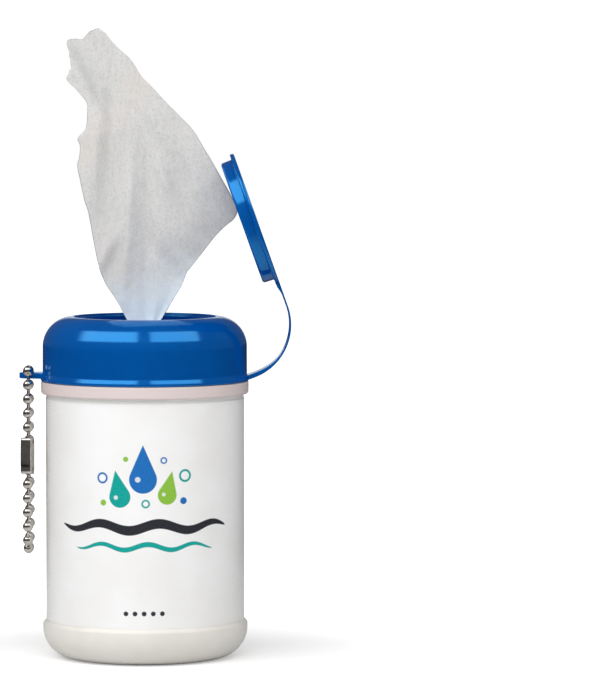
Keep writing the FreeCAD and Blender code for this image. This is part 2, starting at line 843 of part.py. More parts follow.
chain_nodes(
    "chain_saddle", span(back_top_of_strand, last) + [0], span(back_top_of_strand, last)
)
chain_nodes(
    "chain_upper",
    span(1, front_pivot) + span(back_pivot, back_top_of_strand - 1),
    span(0, clasp_start - 1) + [clasp_start + 1] + span(back_pivot, back_top_of_strand - 1),
)
chain_nodes(
    "chain_lower", span(front_pivot + 1, back_pivot - 1), span(front_pivot, back_pivot - 1)
)

# Clasp: a folded strip of sheet with a closed front, open ends and a slot between its two edges
# at the back. Each side wall has a round seat for each of the chain's two end beads
clasp_high, clasp_low = loop[clasp_start], loop[clasp_start + 1]
clasp_axis = (clasp_high - clasp_low).normalize()
wall = size("clasp_wall")
half = size("clasp_width") / 2
inner = half - wall
clasp_front = bead + size("clasp_fit")
clasp_back = size("clasp_reach")
slot_half = inner - size("clasp_lip")
seat_radius = math.sqrt((bead + size("clasp_seat_gap")) ** 2 - inner**2)
held = (clasp_high - clasp_low).Length / 2
half_length = held + size("clasp_end")
beyond = half_length + overrun
clasp_turn = turn + math.radians(size("clasp_angle"))
backward = FreeCAD.Vector(math.sin(clasp_turn), math.cos(clasp_turn), 0)


def upright_box(low, high, corner_round):
    box = Part.makeBox(high.x - low.x, high.y - low.y, high.z - low.z, low)
    if not corner_round:
        return box
    upright = [e for e in box.Edges if abs(e.tangentAt(e.FirstParameter).z) > 1 / 2]
    return box.makeFillet(corner_round, upright)


clasp_round = size("clasp_round")
clasp = upright_box(
    FreeCAD.Vector(-half, -clasp_front - wall, -half_length),
    FreeCAD.Vector(half, clasp_back, half_length),
    clasp_round,
)
clasp = clasp.cut(
    upright_box(
        FreeCAD.Vector(-inner, -clasp_front, -beyond),
        FreeCAD.Vector(inner, clasp_back - wall, beyond),
        clasp_round - wall,
    )
)
clasp = clasp.cut(
    upright_box(
        FreeCAD.Vector(-slot_half, 0, -beyond),
        FreeCAD.Vector(slot_half, clasp_back + overrun, beyond),
        0,
    )
)
for level in (-held, held):
    seat = Part.makeCylinder(
        seat_radius,
        2 * (half + overrun),
        FreeCAD.Vector(-half - overrun, 0, level),
        FreeCAD.Vector(1, 0, 0),
    )
    clasp = clasp.cut(seat)
clasp_node = feature("chain_clasp", clasp)
clasp_node.Placement = FreeCAD.Placement(
    (clasp_high + clasp_low) * 0.5,
    FreeCAD.Rotation(backward.cross(clasp_axis), backward, clasp_axis, "ZYX"),
)

# Places that the joints turn about. The bending strap carries the cap from its open place to
# one above its seat, which is a turn about one point, and then the cap is pressed home.
cap_closed = size("seat_height") + size("seat_gap") + size("flange_thickness")
cap_above = cap_closed + size("press_travel")
swing = math.radians(size("cap_opening_angle"))
moved_x = -(size("cap_x") * math.cos(swing) - size("cap_z") * math.sin(swing))
moved_z = cap_above - (size("cap_x") * math.sin(swing) + size("cap_z") * math.cos(swing))
scale = 2 * (1 - math.cos(swing))
swing_x = ((1 - math.cos(swing)) * moved_x - math.sin(swing) * moved_z) / scale
swing_z = (math.sin(swing) * moved_x + (1 - math.cos(swing)) * moved_z) / scale
places = {
    "cap_swing": FreeCAD.Vector(swing_x, 0, swing_z),
    "cap_centre": FreeCAD.Vector(size("cap_x"), 0, size("cap_z")),
    "bar": bar - up * bar.z + up * (bar_top - size("lug_thickness") / 2),
    "front_first": loop[0],
    "back_first": loop[back_top_of_strand],
    "front_pivot": loop[front_pivot],
    "back_pivot": loop[back_pivot],
    "sideways": sideways,
    "hole": hole,
}
for name, point in places.items():
    print("place %s %.5f %.5f %.5f" % (name, point.x, point.y, point.z))

# Checks, then one file for each sub-part
doc.recompute()
for obj in doc.Objects:
    if "Invalid" in obj.State or "Error" in obj.State:
        raise RuntimeError(obj.Name + " failed: " + str(obj.State))
parts = [canister, label, roll, lid, strap, tip, cap]
parts += [o for o in doc.Objects if o.TypeId == "Part::Feature"]
os.makedirs("parts", exist_ok=True)
for part in parts:
    shape = part.Shape
    if shape.isNull() or not shape.isValid():
        raise RuntimeError(part.Label + " has no valid shape")
    shape.exportStep("parts/" + part.Label + ".step")
    box = shape.BoundBox
    print(
        "%-20s %3d solids %10.2f mm3  x %.1f..%.1f  y %.1f..%.1f  z %.1f..%.1f"
        % (part.Label, len(shape.Solids), shape.Volume, box.XMin, box.XMax, box.YMin, box.YMax,
           box.ZMin, box.ZMax)
    )
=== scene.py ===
import json
from math import asin, atan2, cos, degrees, exp, hypot, pi, radians, sin

import bmesh
import bpy
from mathutils import Matrix, Vector, noise

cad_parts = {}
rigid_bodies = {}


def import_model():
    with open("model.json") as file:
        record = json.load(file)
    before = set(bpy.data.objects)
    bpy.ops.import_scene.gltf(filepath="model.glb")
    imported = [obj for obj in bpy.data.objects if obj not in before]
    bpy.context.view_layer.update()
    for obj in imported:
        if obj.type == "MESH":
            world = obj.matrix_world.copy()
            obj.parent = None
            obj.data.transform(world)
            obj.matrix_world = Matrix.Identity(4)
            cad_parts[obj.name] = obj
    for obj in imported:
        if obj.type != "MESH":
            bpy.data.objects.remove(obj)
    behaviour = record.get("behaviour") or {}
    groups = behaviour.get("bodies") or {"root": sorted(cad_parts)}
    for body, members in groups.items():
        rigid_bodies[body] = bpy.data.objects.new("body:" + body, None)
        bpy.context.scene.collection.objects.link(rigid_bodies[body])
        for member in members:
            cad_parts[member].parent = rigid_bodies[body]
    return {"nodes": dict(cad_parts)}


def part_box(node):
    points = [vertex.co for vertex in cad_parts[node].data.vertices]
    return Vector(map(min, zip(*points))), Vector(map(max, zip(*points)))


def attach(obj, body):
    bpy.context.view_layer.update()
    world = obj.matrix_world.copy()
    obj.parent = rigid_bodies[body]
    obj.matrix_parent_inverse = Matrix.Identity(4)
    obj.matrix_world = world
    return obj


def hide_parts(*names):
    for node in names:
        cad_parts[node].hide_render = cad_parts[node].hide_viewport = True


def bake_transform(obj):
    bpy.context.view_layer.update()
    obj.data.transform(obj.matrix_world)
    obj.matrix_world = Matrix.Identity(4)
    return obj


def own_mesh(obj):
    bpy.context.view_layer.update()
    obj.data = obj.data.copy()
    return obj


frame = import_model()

# A pocket canister of wet wipes with a push-on lid, its flip cap open on a strap,
# a wipe standing out of the orifice and a ball chain through the lid's lug.
# Lengths in the dictionaries are millimetres, angles are degrees; +X is the strap's side, -Y the front.
# A function's f is the dictionary of its piece.

mm = 0.001
weldGap = 1e-7  # metres
scene = bpy.context.scene
for spare in [item for item in scene.objects if item.name in ("Cube", "Light", "Camera")]:
    bpy.data.objects.remove(spare)
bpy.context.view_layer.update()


def addObject(name, data):
    made = bpy.data.objects.new(name, data)
    scene.collection.objects.link(made)
    return made


def asMesh(bm, name):
    mesh = bpy.data.meshes.new(name)
    bm.to_mesh(mesh)
    bm.free()
    return mesh


# Camera

cameraSetup = {
    "azimuth": 0.72,     # toward the strap
    "distance": 1095.0,  # from the canister's axis
    "eyeHeight": 139.0,
    "pitchDown": 3.457,
    "turnRight": 1.995,  # puts the axis left of the middle
    "lens": 243.0,
    "sensor": 36.0,
    "clip": (100.0, 30000.0),
}


def addCamera(f):
    data = bpy.data.cameras.new("camera")
    data.lens = f["lens"]
    data.sensor_width = f["sensor"]
    data.clip_start, data.clip_end = (mm * end for end in f["clip"])
    camera = addObject("camera", data)
    azimuth = radians(f["azimuth"])
    away = mm * f["distance"]
    camera.location = (sin(azimuth) * away, -cos(azimuth) * away, mm * f["eyeHeight"])
    camera.rotation_euler = (radians(90 - f["pitchDown"]), 0, azimuth - radians(f["turnRight"]))
    scene.camera = camera


addCamera(cameraSetup)
scene.view_settings.view_transform = "Standard"
print("camera ready")


# Shader maths

def paint(red, green, blue):  # a screen colour, 0 to 255, as the shader's linear one
    shares = [level / 255 for level in (red, green, blue)]
    return tuple(s / 12.92 if s <= 0.04045 else ((s + 0.055) / 1.055) ** 2.4 for s in shares) + (1,)


class Value:
    def __init__(self, board, socket):
        self.board = board
        self.socket = socket

    def __add__(self, other):
        return self.board.maths("ADD", self, other)

    def __sub__(self, other):
        return self.board.maths("SUBTRACT", self, other)

    def __rsub__(self, other):
        return self.board.maths("SUBTRACT", other, self)

    def __mul__(self, other):
        return self.board.maths("MULTIPLY", self, other)

    def __truediv__(self, other):
        return self.board.maths("DIVIDE", self, other)

    __radd__ = __add__
    __rmul__ = __mul__


class Board:
    def __init__(self, tree):
        self.tree = tree

    def make(self, kind, settings=(), sockets=(), output=0):
        node = self.tree.nodes.new("ShaderNode" + kind)
        for name, value in dict(settings).items():
            setattr(node, name, value)
        for key, value in dict(sockets).items():
            if isinstance(value, Value):
                self.tree.links.new(value.socket, node.inputs[key])
            else:
                node.inputs[key].default_value = value
        return Value(self, node.outputs[output])

    def maths(self, operation, *values):
        return self.make("Math", {"operation": operation}, dict(enumerate(values)))

    def smooth(self, value, low, high):
        ends = {"Value": value, "From Min": low, "From Max": high}
        return self.make("MapRange", {"interpolation_type": "SMOOTHSTEP"}, ends)

    def ramp(self, value, low, high, share, least=0.0):
        return self.smooth(value, low, high) * share + least

    def tint(self, factor, first, second):
        return self.make("Mix", {"data_type": "RGBA"}, {0: factor, 6: first, 7: second}, output=2)

    def place(self):  # object coordinates in millimetres
        metres = self.make("TexCoord", output="Object")
        return self.make("VectorMath", {"operation": "SCALE"}, {0: metres, 3: 1 / mm})

    def axes(self, place):
        node = self.make("SeparateXYZ", sockets={0: place}).socket.node
        return [Value(self, output) for output in node.outputs]

    def grain(self, place, size, detail=2.0, stretch=(1, 1, 1)):
        spread = self.make("Mapping", sockets={"Vector": place, "Scale": stretch})
        return self.make("TexNoise", sockets={"Vector": spread, "Scale": 1 / size, "Detail": detail})

    def length(self, one, two):  # of a plane vector
        return self.maths("SQRT", one * one + two * two)

    def bump(self, height, depth, strength):
        return self.make("Bump", sockets={"Height": height, "Distance": mm * depth, "Strength": strength},
                         output="Normal")


def newMaterial(name, constants):
    material = bpy.data.materials.new(name)
    material.use_nodes = True
    shader = material.node_tree.nodes["Principled BSDF"]
    for socket, value in constants.items():
        shader.inputs[socket].default_value = value
    return material, Board(material.node_tree), shader


def feed(board, shader, links):
    for name, value in links.items():
        board.tree.links.new(value.socket, shader.inputs[name])


# World, lamps and floor

studio = {
    "ambient": 0.16,     # what the object is lit with all round
    "roomGloss": 0.1,    # what a glossy surface mirrors of the room
    "backGloss": 0.9,    # and of the white backdrop, which hangs straight behind the object
    "backEdge": (0.972, 0.998),
    "panels": {          # lamps: azimuth, elevation, distance, width, height, watts
        "panelLeft": (-42, 42, 1000, 1500, 720, 9.0),
        "panelRight": (31, 42, 1000, 1100, 660, 5.2),
    },
    "front": (0.024, -0.998, 0.06),  # from the object to the camera
    # Only glossy surfaces mirror these. Each edge, with its blur, is the turn or the slope of the surface
    # that shows it to the camera.
    "softboxes": {
        "left": {"west": (-38.5, 4), "east": (-3.2, 0.8), "foot": (18.8, 1.3), "top": (40.5, 1.8),
                 "level": 2.15},
        "right": {"west": (4.3, 0.8), "east": (33.9, 1.5), "foot": (19, 1), "top": (40.5, 1.5),
                  "level": 1.8},
    },
    "aim": 70,
    "floorReach": 3000, "floorSteps": 96,
    "floorColour": paint(230, 230, 230), "floorRoughness": 0.9,
    "floorGlow": 0.36,
    "shadowZone": (25, 130),  # the floor turns to the background's white across these radii
    "tableEdge": (50, 260),   # and in a reflection it gets dark across these, as a table's does in a room
    "tableDim": 0.9,
}


def addWorld(f):
    world = bpy.data.worlds.new("studio")
    scene.world = world
    world.use_nodes = True
    board = Board(world.node_tree)
    paths = board.make("LightPath").socket.node.outputs
    seen = Value(board, paths["Is Camera Ray"]) + Value(board, paths["Is Transmission Ray"])
    glossy = Value(board, paths["Is Glossy Ray"])
    direction = board.make("TexCoord", output="Generated")
    back = board.axes(direction)[1]
    halfway = board.make("VectorMath", {"operation": "ADD"}, {0: direction, 1: f["front"]})
    right, rear, up = board.axes(board.make("VectorMath", {"operation": "NORMALIZE"}, {0: halfway}))
    turn = board.maths("ARCTAN2", right, rear * -1) * degrees(1)
    slope = board.maths("ARCSINE", up) * degrees(1)
    room, ambient = f["roomGloss"], f["ambient"]
    mirrored = board.smooth(back, *f["backEdge"]) * (f["backGloss"] - room) + room

    def past(value, edge):
        place, blur = edge
        return board.smooth(value, place - blur, place + blur)

    for box in f["softboxes"].values():
        across = past(turn, box["west"]) * (1 - past(turn, box["east"]))
        upward = past(slope, box["foot"]) * (1 - past(slope, box["top"]))
        mirrored = mirrored + across * upward * box["level"]
    level = seen * (1 - ambient) + glossy * (mirrored - ambient) + ambient
    background = world.node_tree.nodes["Background"]
    feed(board, background, {"Strength": level})
    background.inputs["Color"].default_value = (1, 1, 1, 1)


def addPanel(name, aim, azimuth, elevation, distance, width, height, watts):
    data = bpy.data.lights.new(name, "AREA")
    data.shape = "RECTANGLE"
    data.size = mm * width
    data.size_y = mm * height
    data.energy = watts
    panel = addObject(name, data)
    turn, rise = radians(azimuth), radians(elevation)
    outward = Vector((sin(turn) * cos(rise), -cos(turn) * cos(rise), sin(rise)))
    panel.location = outward * mm * distance + Vector((0, 0, mm * aim))
    panel.rotation_euler = outward.to_track_quat("Z", "Y").to_euler()
    panel.visible_glossy = False


def addFloor(f):
    bm = bmesh.new()
    bmesh.ops.create_circle(bm, cap_ends=True, segments=f["floorSteps"], radius=mm * f["floorReach"])
    mesh = asMesh(bm, "floor")
    floor = addObject("floor", mesh)
    material, board, shader = newMaterial("paleFloor", {
        "Base Color": f["floorColour"], "Roughness": f["floorRoughness"], "Specular IOR Level": 0.0})
    paths = board.make("LightPath").socket.node.outputs
    seen, glossy = Value(board, paths["Is Camera Ray"]), Value(board, paths["Is Glossy Ray"])
    place = board.place()
    reach = board.make("VectorMath", {"operation": "LENGTH"}, {0: place}, "Value")
    far = board.smooth(reach, *f["shadowZone"])
    shine = far * (1 - f["floorGlow"]) + f["floorGlow"]
    glow = board.make("Emission", sockets={"Strength": seen * shine})
    surface = Value(board, shader.outputs[0])
    both = board.make("AddShader", sockets={0: surface, 1: glow})
    dark = board.make("Emission", sockets={"Strength": 0.0})
    dim = glossy * board.smooth(reach, *f["tableEdge"]) * f["tableDim"]
    shown = board.make("MixShader", sockets={0: dim, 1: both, 2: dark})
    feed(board, material.node_tree.nodes["Material Output"], {"Surface": shown})
    mesh.materials.append(material)


addWorld(studio)
for panelName, panelFacts in studio["panels"].items():
    addPanel(panelName, studio["aim"], *panelFacts)
addFloor(studio)
print("studio ready")


# Mesh helpers

def finishPiece(name, bm, material, body, replaced=(), weighted=True):
    mesh = asMesh(bm, name)
    mesh.materials.append(material)
    for face in mesh.polygons:
        face.use_smooth = True
    piece = addObject(name, mesh)
    if weighted:
        piece.modifiers.new("normals", "WEIGHTED_NORMAL")
    if body:
        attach(piece, body)
    if replaced:
        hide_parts(*replaced)
    return piece


def easeEdges(bm, edges, ease, segments, clamped=True):
    bmesh.ops.bevel(bm, geom=edges, offset=mm * ease, segments=segments, profile=0.5,
                    affect="EDGES", material=-1, clamp_overlap=clamped)


def easeSharp(bm, ease, segments, least):  # rounds the edges that turn by more than this angle
    sharp = [edge for edge in bm.edges
             if len(edge.link_faces) == 2 and edge.calc_face_angle() > radians(least)]
    easeEdges(bm, sharp, ease, segments)


def easeRings(bm, corners, slack=0.004):  # rounds the ring edges at each (radius, height, ease, segments)
    for radius, height, ease, segments in corners:
        ring = []
        for edge in bm.edges:
            offs = [hypot(hypot(v.co.x, v.co.y) - mm * radius, v.co.z - mm * height) for v in edge.verts]
            if max(offs) < mm * slack:
                ring.append(edge)
        easeEdges(bm, ring, ease, segments)


def evenNormals(bm):
    bmesh.ops.recalc_face_normals(bm, faces=bm.faces)


def newGrid(columns, rows):  # one unit wide and long, round the middle
    bm = bmesh.new()
    bmesh.ops.create_grid(bm, x_segments=columns, y_segments=rows, size=0.5)
    return bm


def shift(bm, x, y, z, verts=None):
    bmesh.ops.translate(bm, vec=(mm * x, mm * y, mm * z), verts=verts or bm.verts)


def thicken(bm, thickness):
    bmesh.ops.solidify(bm, geom=bm.faces[:], thickness=mm * thickness)


def freshVerts(made):
    return [item for item in made["geom"] if isinstance(item, bmesh.types.BMVert)]


def turned(direction, spot):  # puts what stands along Z at a spot, along a direction
    return Matrix.Translation(spot) @ direction.to_track_quat("Z", "Y").to_matrix().to_4x4()


def faceTo(bm, face, direction):  # turns all faces over where this one looks away from the direction
    if face.normal.dot(direction) < 0:
        bmesh.ops.reverse_faces(bm, faces=bm.faces)


def spun(profile, steps, closed=False):  # profile rows are radius, height and, on a corner, ease and segments
    bm = bmesh.new()
    points = [bm.verts.new((mm * row[0], 0, mm * row[1])) for row in profile]
    for first, second in zip(points, points[1:] + points[:1] * closed):
        bm.edges.new((first, second))
    bmesh.ops.spin(bm, geom=bm.verts[:] + bm.edges[:], cent=(0, 0, 0), axis=(0, 0, 1),
                   angle=2 * pi, steps=steps, use_merge=True)
    bmesh.ops.remove_doubles(bm, verts=bm.verts, dist=weldGap)
    evenNormals(bm)
    easeRings(bm, [row for row in profile if len(row) == 4])
    return bm


def addCopy(bm, template, matrix):
    before = len(bm.verts)
    bm.from_mesh(template)
    bm.verts.ensure_lookup_table()
    bmesh.ops.transform(bm, matrix=matrix, verts=bm.verts[before:])


def clamp(value):
    return max(0.0, min(1.0, value))


def smoothShare(value, low, high):
    share = clamp((value - low) / (high - low))
    return share * share * (3 - 2 * share)


# Canister: one moulding with a pushed-up base, a bulged foot, the label's panel, a ring and a neck

canister = {
    "steps": 160,
    "recess": (13.0, 1.0), "foot": 14.4, "flat": 16.8,
    "bulge": 24.0, "bulgeTop": 8.2, "corner": 7.15,
    "panel": 23.1, "panelFoot": 8.9,
    "ring": 24.3, "ringFoot": 62.4, "ringTop": 64.9,
    "ringSlope": (-0.55, -0.4, -0.1),  # from the panel out to the ring, heights over the ring's foot
    "neck": 22.3, "neckTop": 70.1, "rib": 0.3, "ribZone": (66.3, 68.1), "ribSlope": 0.3,
    "wall": 1.0,
    "colour": paint(233, 230, 223), "ringColour": paint(222, 208, 206), "shade": paint(219, 215, 207),
    "collarColour": paint(243, 243, 241), "collarZone": (59.2, 60.2), "pinkZone": (61.85, 62.05),
    "cloudSize": 9.0, "swellSize": 4.0, "gritSize": 0.22, "gritGloss": (0.3, 0.7, 0.10, 0.31),
}


def canisterMaterial(f):
    material, board, shader = newMaterial("satinPlastic", {"Roughness": 0.36, "Specular IOR Level": 0.42})
    place = board.place()
    height = board.axes(place)[2]
    cloud = board.grain(place, f["cloudSize"])
    body = board.tint(board.smooth(cloud, 0.35, 0.75) * 0.35, f["colour"], f["shade"])
    body = board.tint(board.smooth(height, *f["collarZone"]), body, f["collarColour"])
    colour = board.tint(board.smooth(height, *f["pinkZone"]), body, f["ringColour"])
    grit = board.grain(place, f["gritSize"], 3.0)
    swell = board.grain(place, f["swellSize"])
    feed(board, shader, {"Base Color": colour, "Roughness": board.ramp(grit, *f["gritGloss"]),
                         "Normal": board.bump(grit * 0.35 + swell, 0.035, 0.5)})
    return material


def buildCanister(f):
    wall = f["wall"]
    recess, rise = f["recess"]
    bulge, panel, ring, neck = (f[part] for part in ("bulge", "panel", "ring", "neck"))
    slopeLow, slopeMiddle, slopeHigh = (f["ringFoot"] + lift for lift in f["ringSlope"])
    ribLow, ribHigh = f["ribZone"]
    rib, ribSlope = neck + f["rib"], f["ribSlope"]
    outer = [
        (0, rise), (recess, rise, 0.5, 3), (f["foot"], 0, 0.35, 3), (f["flat"], 0),
        (bulge, 0, f["corner"], 14), (bulge, f["bulgeTop"], 0.3, 3), (panel + 0.12, f["panelFoot"], 0.25, 2),
        (panel, f["panelFoot"] + 0.6), (panel, slopeLow, 0.1, 2), (ring - 0.25, slopeMiddle, 0.12, 3),
        (ring, slopeHigh, 0.15, 3), (ring, f["ringTop"], 0.25, 3), (neck, f["ringTop"], 0.3, 3),
        (neck, ribLow, 0.15, 2), (rib, ribLow + ribSlope, 0.2, 3), (rib, ribHigh - ribSlope, 0.2, 3),
        (neck, ribHigh, 0.15, 2), (neck, f["neckTop"], 0.3, 3),
    ]
    inner = [
        (neck - wall, f["neckTop"], 0.3, 3), (neck - wall, f["ringTop"], 0.3, 2),
        (panel - wall, f["ringFoot"], 0.3, 2), (panel - wall, f["panelFoot"]),
        (bulge - wall, f["bulgeTop"] - 0.3, 0.3, 2), (bulge - wall, wall, f["corner"] - wall, 10),
        (f["flat"], wall), (f["foot"], wall), (recess, rise + wall), (0, rise + wall),
    ]
    bm = spun(outer + inner, f["steps"])
    finishPiece("canisterShell", bm, canisterMaterial(f), "canister", ["canister_body"])


buildCanister(canister)
print("canister ready")


# Label: a film wrapped round the panel, its ends lapped at the back, with a design of drops and two waves

label = {
    "radius": 23.13, "film": 0.1, "foot": 9.1, "top": 61.0, "steps": 168,
    "lapAngle": 9.0, "lapRise": 0.115, "lapBlend": (0.8, 0.1),  # it lifts across these shares of its angle
    "white": paint(246, 246, 246), "warm": paint(241, 240, 238),
    "blue": paint(28, 110, 186), "teal": paint(10, 163, 154), "green": paint(140, 192, 66),
    "ink": paint(44, 46, 52),
    "drops": [  # across, height, bulb, tip's distance, lean in degrees, colour
        (-5.6, 39.6, 2.5, 6.2, -10, "teal"), (-0.2, 43.6, 3.2, 8.0, 0, "blue"),
        (5.4, 40.0, 2.2, 5.6, 12, "green"),
    ],
    "bubbles": [  # across, height, radius, ring's width (nought fills it), colour
        (-9.8, 43.9, 1.3, 0.45, "blue"), (9.7, 44.4, 1.5, 0.5, "teal"), (-9.6, 38.2, 0.7, 0, "green"),
        (9.3, 38.6, 0.8, 0, "blue"), (0.4, 38.0, 1.0, 0.4, "teal"), (-4.2, 48.3, 0.6, 0, "green"),
        (4.6, 48.0, 0.8, 0.35, "blue"),
    ],
    "waves": [  # height, half width, rise, wavelength, phase in degrees, reach, colour
        (32.6, 1.15, 0.8, 14.0, 0, 21.5, "ink"), (28.0, 0.6, 0.65, 11.0, 60, 17.0, "teal"),
    ],
    "dots": {"height": 12.6, "radius": 0.55, "pitch": 2.1, "count": 5, "colour": "ink"},
    "glint": (0.38, 0.2, 0.75),  # a drop's: its offset and size as shares of the bulb, its strength
    "waveEnd": 0.08, "soft": 0.09,
    "cloudSize": 14.0, "rippleSize": 6.0, "fineSize": 0.3, "fineGloss": (0.3, 0.7, 0.06, 0.27),
}


def paintLabel(board, f, place, colour):
    across, back, height = board.axes(place)
    around = board.maths("ARCTAN2", across, back * -1) * f["radius"]
    soft = f["soft"]

    def inside(value):  # 1 where the value is above nought, with a soft edge
        return board.smooth(value, -soft, soft)

    def lay(mask, name, colour):
        return board.tint(mask, colour, f[name])

    aside, small, strength = f["glint"]
    for offset, level, bulb, tip, lean, name in f["drops"]:
        turn = radians(lean)
        side = (around - offset) * cos(turn) - (height - level) * sin(turn)
        rise = (around - offset) * sin(turn) + (height - level) * cos(turn)
        half = asin(bulb / tip)
        inRound = inside(bulb - board.length(side, rise))
        inCone = inside((tip - rise) * sin(half) - board.maths("ABSOLUTE", side) * cos(half))
        above = board.smooth(rise, bulb * sin(half) - soft, bulb * sin(half))
        colour = lay(board.maths("MAXIMUM", inRound, inCone * above), name, colour)
        glint = inside(bulb * small - board.length(side + bulb * aside, rise))
        colour = board.tint(glint * strength, colour, f["white"])
    for offset, level, radius, width, name in f["bubbles"]:
        spread = board.length(around - offset, height - level)
        mask = inside(radius - spread)
        if width:
            mask = mask * inside(spread - (radius - width))
        colour = lay(mask, name, colour)
    for level, half, rise, length, phase, reach, name in f["waves"]:
        line = board.maths("SINE", around * (2 * pi / length) + radians(phase)) * rise + level
        taper = board.maths("SQRT", board.maths("MAXIMUM", 1 - around * around / reach ** 2, 0.0))
        ribbon = inside(taper * half - board.maths("ABSOLUTE", height - line))
        colour = lay(ribbon * board.smooth(taper, 0.0, f["waveEnd"]), name, colour)
    dots = f["dots"]
    for index in range(dots["count"]):
        offset = (index - (dots["count"] - 1) / 2) * dots["pitch"]
        spread = board.length(around - offset, height - dots["height"])
        colour = lay(inside(dots["radius"] - spread), dots["colour"], colour)
    return colour


def labelMaterial(f):
    material, board, shader = newMaterial("labelFilm", {"Roughness": 0.3, "Specular IOR Level": 0.35})
    place = board.place()
    cloud = board.smooth(board.grain(place, f["cloudSize"]), 0.3, 0.7)
    colour = paintLabel(board, f, place, board.tint(cloud, f["white"], f["warm"]))
    ripple = board.grain(place, f["rippleSize"], 1.0, (1, 1, 0.35))
    fine = board.grain(place, f["fineSize"], 2.0)
    feed(board, shader, {"Base Color": colour, "Roughness": board.ramp(fine, *f["fineGloss"]),
                         "Normal": board.bump(ripple + fine * 0.08, 0.05, 0.35)})
    return material


def buildLabel(f):
    bm = bmesh.new()
    ends = [bm.verts.new((0, mm * f["radius"], mm * level)) for level in (f["foot"], f["top"])]
    bm.edges.new(ends)
    lap = radians(f["lapAngle"])
    bmesh.ops.spin(bm, geom=bm.verts[:] + bm.edges[:], cent=(0, 0, 0), axis=(0, 0, 1),
                   angle=2 * pi + lap, steps=f["steps"])
    step = (2 * pi + lap) / f["steps"]
    liftFrom, liftTo = (2 * pi - lap * share for share in f["lapBlend"])
    for index, vert in enumerate(bm.verts):
        turn = (index // 2) * step
        stretch = 1 + f["lapRise"] * smoothShare(turn, liftFrom, liftTo) / f["radius"]
        vert.co.x *= stretch
        vert.co.y *= stretch
    first = bm.faces[:][0]
    faceTo(bm, first, first.calc_center_median())
    thicken(bm, -f["film"])
    finishPiece("labelWrap", bm, labelMaterial(f), "canister", ["label_sleeve"])


buildLabel(label)
print("label ready")


# Cloth of the wipes

cloth = {
    "light": paint(212, 211, 209), "grey": paint(180, 180, 180), "blush": paint(216, 205, 197),
    # painted light: near-white blue over the damp lower sheet, standing in for light shining through the
    # translucent cloth and the blue lid's reflection
    "wet": paint(235, 248, 255), "wetZone": (79.0, 99.0), "wetShare": 0.9, "wetRagged": 7.0, "wetLean": 0.35,
    # painted shade: the sheet's curled edges are tinted darker grey
    "edge": paint(128, 130, 134), "edgeReach": 0.009, "edgeShare": 0.7,
    "crepe": (0.42, 3.0, (1.0, 1.0, 0.8)), "fibres": (1.1, 3.0, (1.0, 1.0, 0.5)),  # grain, detail, stretch
    "clumps": (3.4, 2.0), "broad": (16.0, 1.0),
    "mottle": (0.44, 0.17, 0.1),  # what crepe, fibres and clumps add to the grey
    "blushShare": 0.35,
    "foldShade": [  # x, height, half length, half width, lean, share of painted shade: grey painted into the folds' hollows
        (-7.4, 92.0, 5.0, 2.2, 24, 0.42), (-9.5, 108.0, 9.0, 2.6, 10, 0.2), (8.0, 110.0, 7.0, 2.6, 4, 0.2),
        (-13.2, 137.5, 9.0, 1.4, -22, 0.3), (-8.6, 128.0, 14.0, 1.1, 2, 0.16),
        (-2.0, 98.0, 9.0, 0.9, 4, 0.16),
    ],
}


def clothMaterial(name, f, isSheet):
    material, board, shader = newMaterial(name, {
        "Roughness": 0.95, "Specular IOR Level": 0.15, "Sheen Weight": 0.08})
    place = board.place()
    crepe, fibres, clumps, broad = (board.grain(place, *f[name])
                                    for name in ("crepe", "fibres", "clumps", "broad"))
    byCrepe, byFibres, byClumps = f["mottle"]
    mottle = board.smooth(crepe, 0.42, 0.72) * byCrepe + board.smooth(fibres, 0.4, 0.7) * byFibres
    colour = board.tint(mottle + clumps * byClumps, f["light"], f["grey"])
    colour = board.tint(board.smooth(broad, 0.5, 0.72) * f["blushShare"], colour, f["blush"])
    if isSheet:
        across, back, height = board.axes(place)
        # painted shade: each fold's hollow is tinted toward the grey
        for x, level, length, width, lean, share in f["foldShade"]:
            turn = radians(lean)
            along = ((across - x) * sin(turn) + (height - level) * cos(turn)) * (1 / length)
            aside = ((across - x) * cos(turn) - (height - level) * sin(turn)) * (1 / width)
            away = board.length(along, aside)
            colour = board.tint((1 - board.smooth(away, 0.0, 1.5)) * share, colour, f["grey"])
        # painted light on the lower sheet, with a ragged, leaning top edge
        level = height + clumps * f["wetRagged"] - across * f["wetLean"]
        paintedLightMask = (1 - board.smooth(level, *f["wetZone"])) * f["wetShare"]
        colour = board.tint(paintedLightMask, colour, f["wet"])
        # painted shade: darker grey along the sheet's curled edges, found from its UV
        share, length = board.axes(board.make("UVMap", {"uv_map": "cloth"}))[:2]
        inward = board.maths("MINIMUM", board.maths("MINIMUM", share, 1 - share), (1 - length) * 2.0)
        wearAndShade = (1 - board.smooth(inward, 0.0, f["edgeReach"])) * f["edgeShare"]
        colour = board.tint(wearAndShade, colour, f["edge"])
    feed(board, shader, {"Base Color": colour,
                         "Normal": board.bump(crepe + fibres * 0.5, 0.1, 0.8)})
    return material
